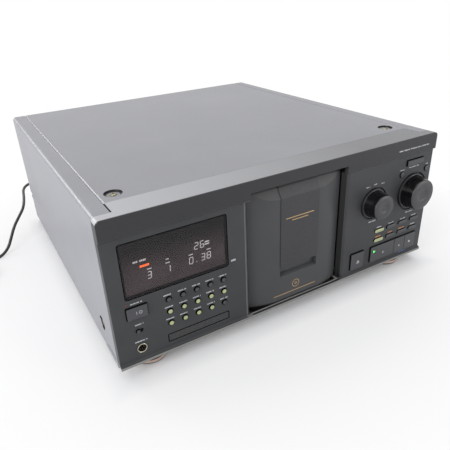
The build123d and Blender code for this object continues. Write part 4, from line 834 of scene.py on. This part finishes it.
def display():
    """Smoked window, the tube and its mask behind it with a faint painted glow, and the lit digits and words."""
    dress(["display_window"], finish("smoked_acrylic", (0.012, 0.010, 0.011), rough=0.07, tone=0.05, rough_spread=0.02,
                                     bump=0.0, alpha=0.5, ior=1.42))
    tube = finish("tube_phosphor", (0.105, 0.078, 0.082), rough=0.45, tone=0.25, patch=30, grain=800,
                  stretch=(1, 1, 3), bump=0.05, glow=1.3)
    tree = tube.node_tree
    shader = tree.nodes["Principled BSDF"]
    rise = spread(tree, parts_of(tree)[2], PANEL_FOOT + 99 * MM, PANEL_FOOT + 126 * MM)
    tint(tube, rise, (0.016, 0.016, 0.016))  # the tube darkens towards its top
    # painted light: the tube's face and mask glow faintly in their own colour
    join(tree, shader.inputs["Base Color"].links[0].from_socket, shader.inputs["Emission Color"])
    dress(["display_tube"], tube)
    mask = solid([rounded(*WINDOW, 111.6, 58.6, 2.0, depth) for depth in (7.5, 7.34)])
    make("display_mask", mask, (tube,), "changer")
    bm = bmesh.new()
    for x, height, text in ((-171.1, 94.6, "3"), (-151.4, 94.5, "1"), (-126.5, 95.1, "0"), (-113.2, 95.1, "3"),
                            (-106.6, 95.1, "8"), (-119.8, 109.8, "2"), (-113.3, 109.8, "6")):
        digit(bm, x, height, text)
    bar(bm, -120.6, 91.9, 0.9, 0.9, *LIT)
    for x, height in ((-170.5, 101.4), (-151.4, 101.5), (-126.5, 101.9), (-106.3, 102.1), (-151.6, 105.6)):
        bar(bm, x, height, 4.6 if height < 105 else 3.2, 0.9, *LIT)
    for height in (108.6, 111.2):
        bar(bm, -107.9, height, 5.0, 1.3, *LIT, 0.1)
    for k in range(8):
        if k != 3:
            bar(bm, -185.0 + 1.65 * k, 112.7, 1.15, 1.9, *LIT, 0.1)
    lit = finish("lit_segments", (0.80, 0.74, 0.78), tone=0.03, bump=0.0, glow=2.3)
    make("lit_digits", bm, (lit,), "changer")
    bm = bmesh.new()
    for k in range(6):
        bar(bm, -178.8 + 1.6 * k, 106.5, 1.25, 2.3, *LIT, 0.1)
    glow = finish("lit_amber", (1.0, 0.16, 0.035), tone=0.03, bump=0.0, glow=5.0)
    make("lit_words", bm, (glow,), "changer")


def door(looks):
    """Door and grip plastics with painted shade in black along the top and foot, and the gold marks: a ring, a rule and
    two strokes.
    """
    dress(["front_door"], finish("door_moulding", looks.door, rough=0.40, patch=14, grain=1500, bump=0.08,
                                 specks=0.3))
    dress(["door_grip_panel"], finish("grip_moulding", (0.033, 0.033, 0.037), rough=0.32, patch=16, grain=1500,
                                      bump=0.06, specks=0.3))
    for name in ("door_moulding", "grip_moulding"):
        mat = bpy.data.materials[name]
        for low, high in ((0.0, 7.2), (BAND_FOOT + 0.2, 160.0)):  # painted shade: its foot, and its top behind the band
            rim = ((2, PANEL_FOOT + low * MM, PANEL_FOOT + high * MM),)
            tint(mat, within(mat.node_tree, parts_of(mat.node_tree), rim), GAP_SHADE)
    gold = finish("gold_ink", looks.print_gold, rough=0.42, metal=0.35, grain=2500, bump=0.0)
    face, grip = 2.5, 1.7
    bm = bmesh.new()
    bar(bm, 1.3, 13.7, 60.0, 0.7, face - 0.06, face + 0.1)
    for radius, thick in ((5.0, 0.55), (1.6, 0.5)):
        closed_band(bm, [circle(2.2, 23.0, radius - trim, face + lift)
                         for trim, lift in ((0, 0.1), (0, -0.06), (thick, -0.06), (thick, 0.1))])
    for wide, x, height, tall in ((38.0, 5.3, 111.0, 0.9), (22.0, 5.3, 107.6, 0.9)):
        bar(bm, x, height, wide, tall, grip - 0.06, grip + 0.1)
    make("gold_marks", bm, (gold,), "door")


CAP_FRONT, CAP_BACK = 1.6, 9.8  # depths of a button's face and of its rear end


def cap_rings(x, height, radius, steps):
    """Rings of a round push button with a rounded rim and a slight crown."""
    return [circle(x, height, radius * share, depth, steps) for share, depth in (
        (0, CAP_BACK), (1, CAP_BACK), (1, CAP_FRONT + 0.5), (0.96, CAP_FRONT + 0.24), (0.82, CAP_FRONT + 0.06),
        (0.70, CAP_FRONT), (0.4, CAP_FRONT), (0, CAP_FRONT))]


def wells(bm, centre, radius, wide, steps=28):
    """A flat black ring of painted shade round a button's hole."""
    closed_band(bm, [circle(*centre, r, FIELD + lift, steps) for r, lift in (
        (radius + wide, 0.08), (radius + wide, -0.04), (radius, -0.04), (radius, 0.08))])


def buttons(looks, controls):
    """Round, spot and pill buttons with rounded rims, each riding on its own body, and painted shade in black in their
    gaps.
    """
    # painted shade: black frames round the keys and rings round the buttons' holes
    bm = bmesh.new()
    for sizes in ((-190.0, 61.6, 22.8, 15.1, 1.3), (98.7, 20.3, 23.2, 24.4, 1.3), (162.5, 20.3, 83.6, 23.2, 1.3),
                  (184.0, 133.6, 30.0, 8.8, 1.0)):
        edging(bm, sizes, 0.85)
    for centre in ROUND_PLACES:
        wells(bm, centre, 3.15, 0.45)
    for centre in SPOT_PLACES:
        wells(bm, centre, 3.85, 0.35)
    make("button_wells", bm, (painted_gap_black(),), "changer")
    dark, gap = key_finish(), painted_gap_black()
    pale = finish("pale_moulding", looks.pale, rough=0.34, tone=0.08, patch=200, grain=1500, bump=0.04)

    def cap(kind, number, rings, indices, bright=False):
        # painted shade: each cap's sides take the gap's black
        make(f"{kind}_cap_{number}", solid(rings, indices), (pale if bright else dark, gap), f"{kind}_{number}",
             (f"{kind}_button_{number}",))

    radius = controls.round_radius / MM - 0.02
    for number, centre in enumerate(ROUND_PLACES, 1):
        cap("round", f"{number:02d}", cap_rings(*centre, radius, 28), [1, 1, 1, 1, 0, 0, 0], number in PALE_ROUNDS)
    for number, centre in enumerate(SPOT_PLACES, 1):
        cap("spot", number, cap_rings(*centre, 3.58, 32), [1, 1, 1, 0, 0, 0, 0])
    length, thick = controls.pill_length / MM, controls.pill_height / MM
    trims = ((0.02, CAP_BACK), (0.02, 2.1), (0.12, 1.8), (0.4, 1.62), (0.8, CAP_FRONT))
    for number, centre in enumerate(PILL_PLACES, 1):
        rings = [stadium(*centre, length - 2 * trim, thick - 2 * trim, depth) for trim, depth in trims]
        cap("pill", number, rings, [1, 1, 0, 0, 0], number in PALE_PILLS)
    dress(["bar_button", "power_button", "open_close_button", "play_button", "pause_button", "stop_button",
           "timer_switch"], dark)


def key_marks():
    """Generic signs on the keys: power, open, play, pause, stop, and the green play lamp."""
    ink = bpy.data.materials["white_ink"]
    front, back = 0.74, 0.9

    def prism(bm, points):
        skin(bm, [[place(x, height, depth) for x, height in points] for depth in (back, front)])

    def frame_of(bm, outer, inner):
        for a, b in zip(range(len(outer)), [*range(1, len(outer)), 0]):
            prism(bm, [outer[a], outer[b], inner[b], inner[a]])

    green = finish("lamp_green", (0.05, 0.85, 0.10), rough=0.4, tone=0.05, bump=0.0, glow=1.6)
    ring = [(math.cos(2 * math.pi * k / 24), math.sin(2 * math.pi * k / 24)) for k in range(24)]
    for name, key, material, bars, triangles, outlines in (  # what each sign is made of
        ("play_mark", "play_key", ink, (), (), (([(143.0, 20.4), (146.0, 18.5), (143.0, 16.6)],
                                                 [(143.45, 19.6), (145.15, 18.5), (143.45, 17.4)]),)),
        ("pause_mark", "pause_key", ink, ((172.5, 18.9, 0.65, 2.8), (174.0, 18.9, 0.65, 2.8)), (), ()),
        ("stop_mark", "stop_key", ink, ((192.5, 19.2, 2.6, 2.6),), (), ()),
        ("open_mark", "open_close_key", ink, ((99.7, 16.9, 4.6, 0.7),),
         ([(97.4, 18.0), (102.0, 18.0), (99.7, 20.9)],), ()),
        ("power_mark", "power_key", ink, ((-190.9, 61.6, 0.45, 3.2),), (),
         ([[(-186.9 + radius * c, 61.6 + radius * s) for c, s in ring] for radius in (1.7, 1.3)],)),
        ("play_lamp", "play_key", green, (), ([(126.0, 26.0), (129.2, 24.3), (126.0, 22.6)],), ()),
    ):
        bm = bmesh.new()
        for sizes in bars:
            bar(bm, *sizes, front, back)
        for corners in triangles:
            prism(bm, corners)
        for outer, inner in outlines:
            frame_of(bm, outer, inner)
        make(name, bm, (material,), key)


SHORT_CAP = 5.0  # the turned caps stand this much behind the front of their solids


def dial(name, body, centre, flange, skirt, cap, materials):
    """A turned dial: boss, matt flange, glossy tapered skirt and a dished satin cap."""
    low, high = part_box(name)
    back = (high[1] - FACE_Y) / MM - 0.02
    front = (low[1] - FACE_Y) / MM + SHORT_CAP
    rings = [(0, back), (4.95, back), (4.95, 5.9), (flange - 0.05, 5.9), (flange - 0.02, 2.2), (flange - 0.3, 1.85),
             (skirt + 0.5, 1.80), (skirt + 0.1, 1.72), (skirt - 0.02, 1.2), (skirt - 0.4, -3)]
    rings += [(cap - trim, front + lift) for trim, lift in ((-0.25, 2.4), (0.05, 0.95), (0.32, 0.35), (0.9, 0.02))]
    rings += [(cap * share, front + lift) for share, lift in (
        (0.62, 0), (0.47, 0), (0.42, 0.12), (0.36, 0.5), (0.29, 0.66), (0.12, 0.7), (0, 0.7))]
    knob = solid([circle(*centre, r, d, 96) for r, d in rings], [0] * 7 + [1] * 4 + [2] * 9)
    make(name.replace("_dial", "_knob"), knob, materials, body, (name,), sharp=38)


def dials():
    """The two turned dials."""
    materials = (finish("dial_flange", (0.030, 0.030, 0.032), rough=0.34, grain=1400, bump=0.06),
                 finish("dial_gloss", (0.005, 0.005, 0.006), rough=0.13, bump=0.02, ior=1.4),
                 finish("dial_cap", (0.042, 0.042, 0.045), rough=0.36, tone=0.08, grain=1500, bump=0.06))
    dial("big_dial", "jog", BIG_DIAL, 23.2, 21.6, 19.4, materials)
    dial("small_dial", "selector", SMALL_DIAL, 18.9, 17.4, 15.4, materials)


def sockets():
    """Brass ring and pins of the keyboard socket, and the rings and collars of the rear jacks."""
    dark = finish("socket_moulding", (0.022, 0.022, 0.023), bump=0.1)
    dress(["keyboard_socket", "rear_jacks"], dark)
    brass = finish("brass_ring", (0.62, 0.56, 0.44), rough=0.3, metal=1.0, patch=300, bump=0.03)

    def hoop(bm, centre, axis, outline, steps=40):
        """A closed ring of the (radius, along) outline about the axis."""
        turn = axis.to_track_quat("Z", "Y").to_matrix()
        closed_band(bm, [[centre + turn @ point for point in ring] for ring in upright(outline, steps)])

    bm = bmesh.new()
    hoop(bm, place(*SOCKET, 2.2), Vector((0, -1, 0)), (
        (5.25, -0.4), (5.25, 0.1), (5.0, 0.3), (4.7, 0.3), (4.45, 0.1), (4.45, -5.0), (4.6, -5.0), (4.6, -0.4)))
    make("socket_ring", bm, (brass,), "changer")
    pin = solid(upright(((0, 0), (0.42, 0), (0.42, 4.4), (0.2, 4.9), (0, 4.9)), 12))
    around = [2 * math.pi * (k + 0.5) / 7 for k in range(7)]
    spots = [place(SOCKET[0] + 2.5 * math.cos(a), SOCKET[1] + 2.5 * math.sin(a), 9.1) for a in around]
    copied("socket_pins", pin, spots, [(0, -1, 0)] * 7, brass, "changer")
    nickel = bpy.data.materials["nickel_plate"]
    for name, x, colour in (("left", 150, (0.60, 0.60, 0.58)), ("right", 130, (0.45, 0.02, 0.02))):
        collar = finish(f"collar_{name}", colour, rough=0.35, tone=0.08, bump=0.03)
        for part, material, outline in (  # the jack's nickel shell, and the coloured collar round its foot
            ("shell", nickel, ((4.16, 0.6), (4.2, 0.6), (4.2, 8.8), (3.9, 9.0), (3.3, 9.0), (3.3, 8.0), (4.0, 7.6))),
            ("collar", collar, ((4.1, -0.6), (5.2, -0.6), (5.2, 0.4), (4.9, 0.7), (4.1, 0.7))),
        ):
            bm = bmesh.new()
            hoop(bm, Vector((x * MM, REAR_Y, 0.060)), Vector((0, 1, 0)), outline)
            make(f"phono_{part}_{name}", bm, (material,), "changer")


def inside():
    """Finishes of the carousel, the player, the boards and the transformer."""
    dress(["disc_table"], finish("carousel_moulding", (0.040, 0.041, 0.044), rough=0.48, tone=0.12))
    dress(["table_drive_gear", "disc_spindle", "loading_arm"],
          finish("acetal", (0.72, 0.71, 0.66), rough=0.42, tone=0.05, patch=120, bump=0.05))
    dress(["pickup_sled"], finish("sled_moulding", (0.035, 0.035, 0.038), rough=0.45, bump=0.1))
    dress(["main_board", "control_boards"], finish("phenolic_board", (0.24, 0.16, 0.06), tone=0.18, patch=70,
                                                   grain=700, stretch=(1, 4, 1), bump=0.08))
    dress(["power_transformer"], finish("core_plates", (0.16, 0.15, 0.14), rough=0.42, metal=0.8, tone=0.3, patch=60,
                                        stretch=(1, 1, 30), grain=300, bump=0.3))


# ------------------------------------------------------------------ operators
class ChangerStage(bpy.types.Operator):
    """Set the camera, the lamps and the floor"""
    bl_idname = "changer.stage"
    bl_label = "Stage"

    def execute(self, context):
        stage(context.scene.changer_stage)
        return {"FINISHED"}


class ChangerCord(bpy.types.Operator):
    """Lay the mains cord with its strain relief and plug"""
    bl_idname = "changer.cord"
    bl_label = "Mains cord"

    def execute(self, context):
        mains_cord(context.scene.changer_cord)
        return {"FINISHED"}


class ChangerCase(bpy.types.Operator):
    """Paint the cover, the rear and the chassis, and seat the case screws"""
    bl_idname = "changer.case"
    bl_label = "Case and screws"

    def execute(self, context):
        case(context.scene.changer_finish)
        return {"FINISHED"}


class ChangerFeet(bpy.types.Operator):
    """Fit the four ringed feet"""
    bl_idname = "changer.feet"
    bl_label = "Feet"

    def execute(self, context):
        feet()
        return {"FINISHED"}


class ChangerFront(bpy.types.Operator):
    """Finish the front panel and print its marks"""
    bl_idname = "changer.front"
    bl_label = "Front panel"

    def execute(self, context):
        front(context.scene.changer_finish, context.scene.changer_controls)
        return {"FINISHED"}


class ChangerDisplay(bpy.types.Operator):
    """Glaze the display window and light its digits"""
    bl_idname = "changer.display"
    bl_label = "Display"

    def execute(self, context):
        display()
        return {"FINISHED"}


class ChangerDoor(bpy.types.Operator):
    """Finish the door and its gold marks"""
    bl_idname = "changer.door"
    bl_label = "Door"

    def execute(self, context):
        door(context.scene.changer_finish)
        return {"FINISHED"}


class ChangerButtons(bpy.types.Operator):
    """Shape the round and pill buttons and finish the keys"""
    bl_idname = "changer.buttons"
    bl_label = "Buttons"

    def execute(self, context):
        buttons(context.scene.changer_finish, context.scene.changer_controls)
        key_marks()
        return {"FINISHED"}


class ChangerDials(bpy.types.Operator):
    """Turn the two dials"""
    bl_idname = "changer.dials"
    bl_label = "Dials"

    def execute(self, context):
        dials()
        return {"FINISHED"}


class ChangerSockets(bpy.types.Operator):
    """Ring the keyboard socket and the rear jacks"""
    bl_idname = "changer.sockets"
    bl_label = "Sockets"

    def execute(self, context):
        sockets()
        return {"FINISHED"}


class ChangerInside(bpy.types.Operator):
    """Finish the carousel, the player and the boards"""
    bl_idname = "changer.inside"
    bl_label = "Carousel and player"

    def execute(self, context):
        inside()
        return {"FINISHED"}


STEPS = (ChangerStage, ChangerCord, ChangerCase, ChangerFeet, ChangerFront, ChangerDisplay, ChangerDoor, ChangerButtons,
         ChangerDials, ChangerSockets, ChangerInside)


class ChangerPanel(bpy.types.Panel):
    """Lists the changer's settings and steps"""
    bl_idname = "VIEW3D_PT_changer"
    bl_label = "Disc changer"
    bl_space_type = "VIEW_3D"
    bl_region_type = "UI"
    bl_category = "Disc changer"

    def draw(self, context):
        for holder in ("changer_stage", "changer_cord", "changer_finish", "changer_controls"):
            group = getattr(context.scene, holder)
            for label in group.__annotations__:
                self.layout.prop(group, label)
        for step in STEPS:
            self.layout.operator(step.bl_idname)


GROUPS = {"changer_stage": StageSettings, "changer_cord": CordSettings, "changer_finish": FinishSettings,
          "changer_controls": ControlSettings}


def register():
    for item in (*GROUPS.values(), *STEPS, ChangerPanel):
        bpy.utils.register_class(item)
    for holder, group in GROUPS.items():
        setattr(bpy.types.Scene, holder, PointerProperty(type=group))


def unregister():
    for holder in GROUPS:
        delattr(bpy.types.Scene, holder)
    for item in reversed((*GROUPS.values(), *STEPS, ChangerPanel)):
        bpy.utils.unregister_class(item)


def main():
    register()
    for step in STEPS:
        getattr(bpy.ops.changer, step.bl_idname.split(".")[1])()


if __name__ == "__main__":
    main()
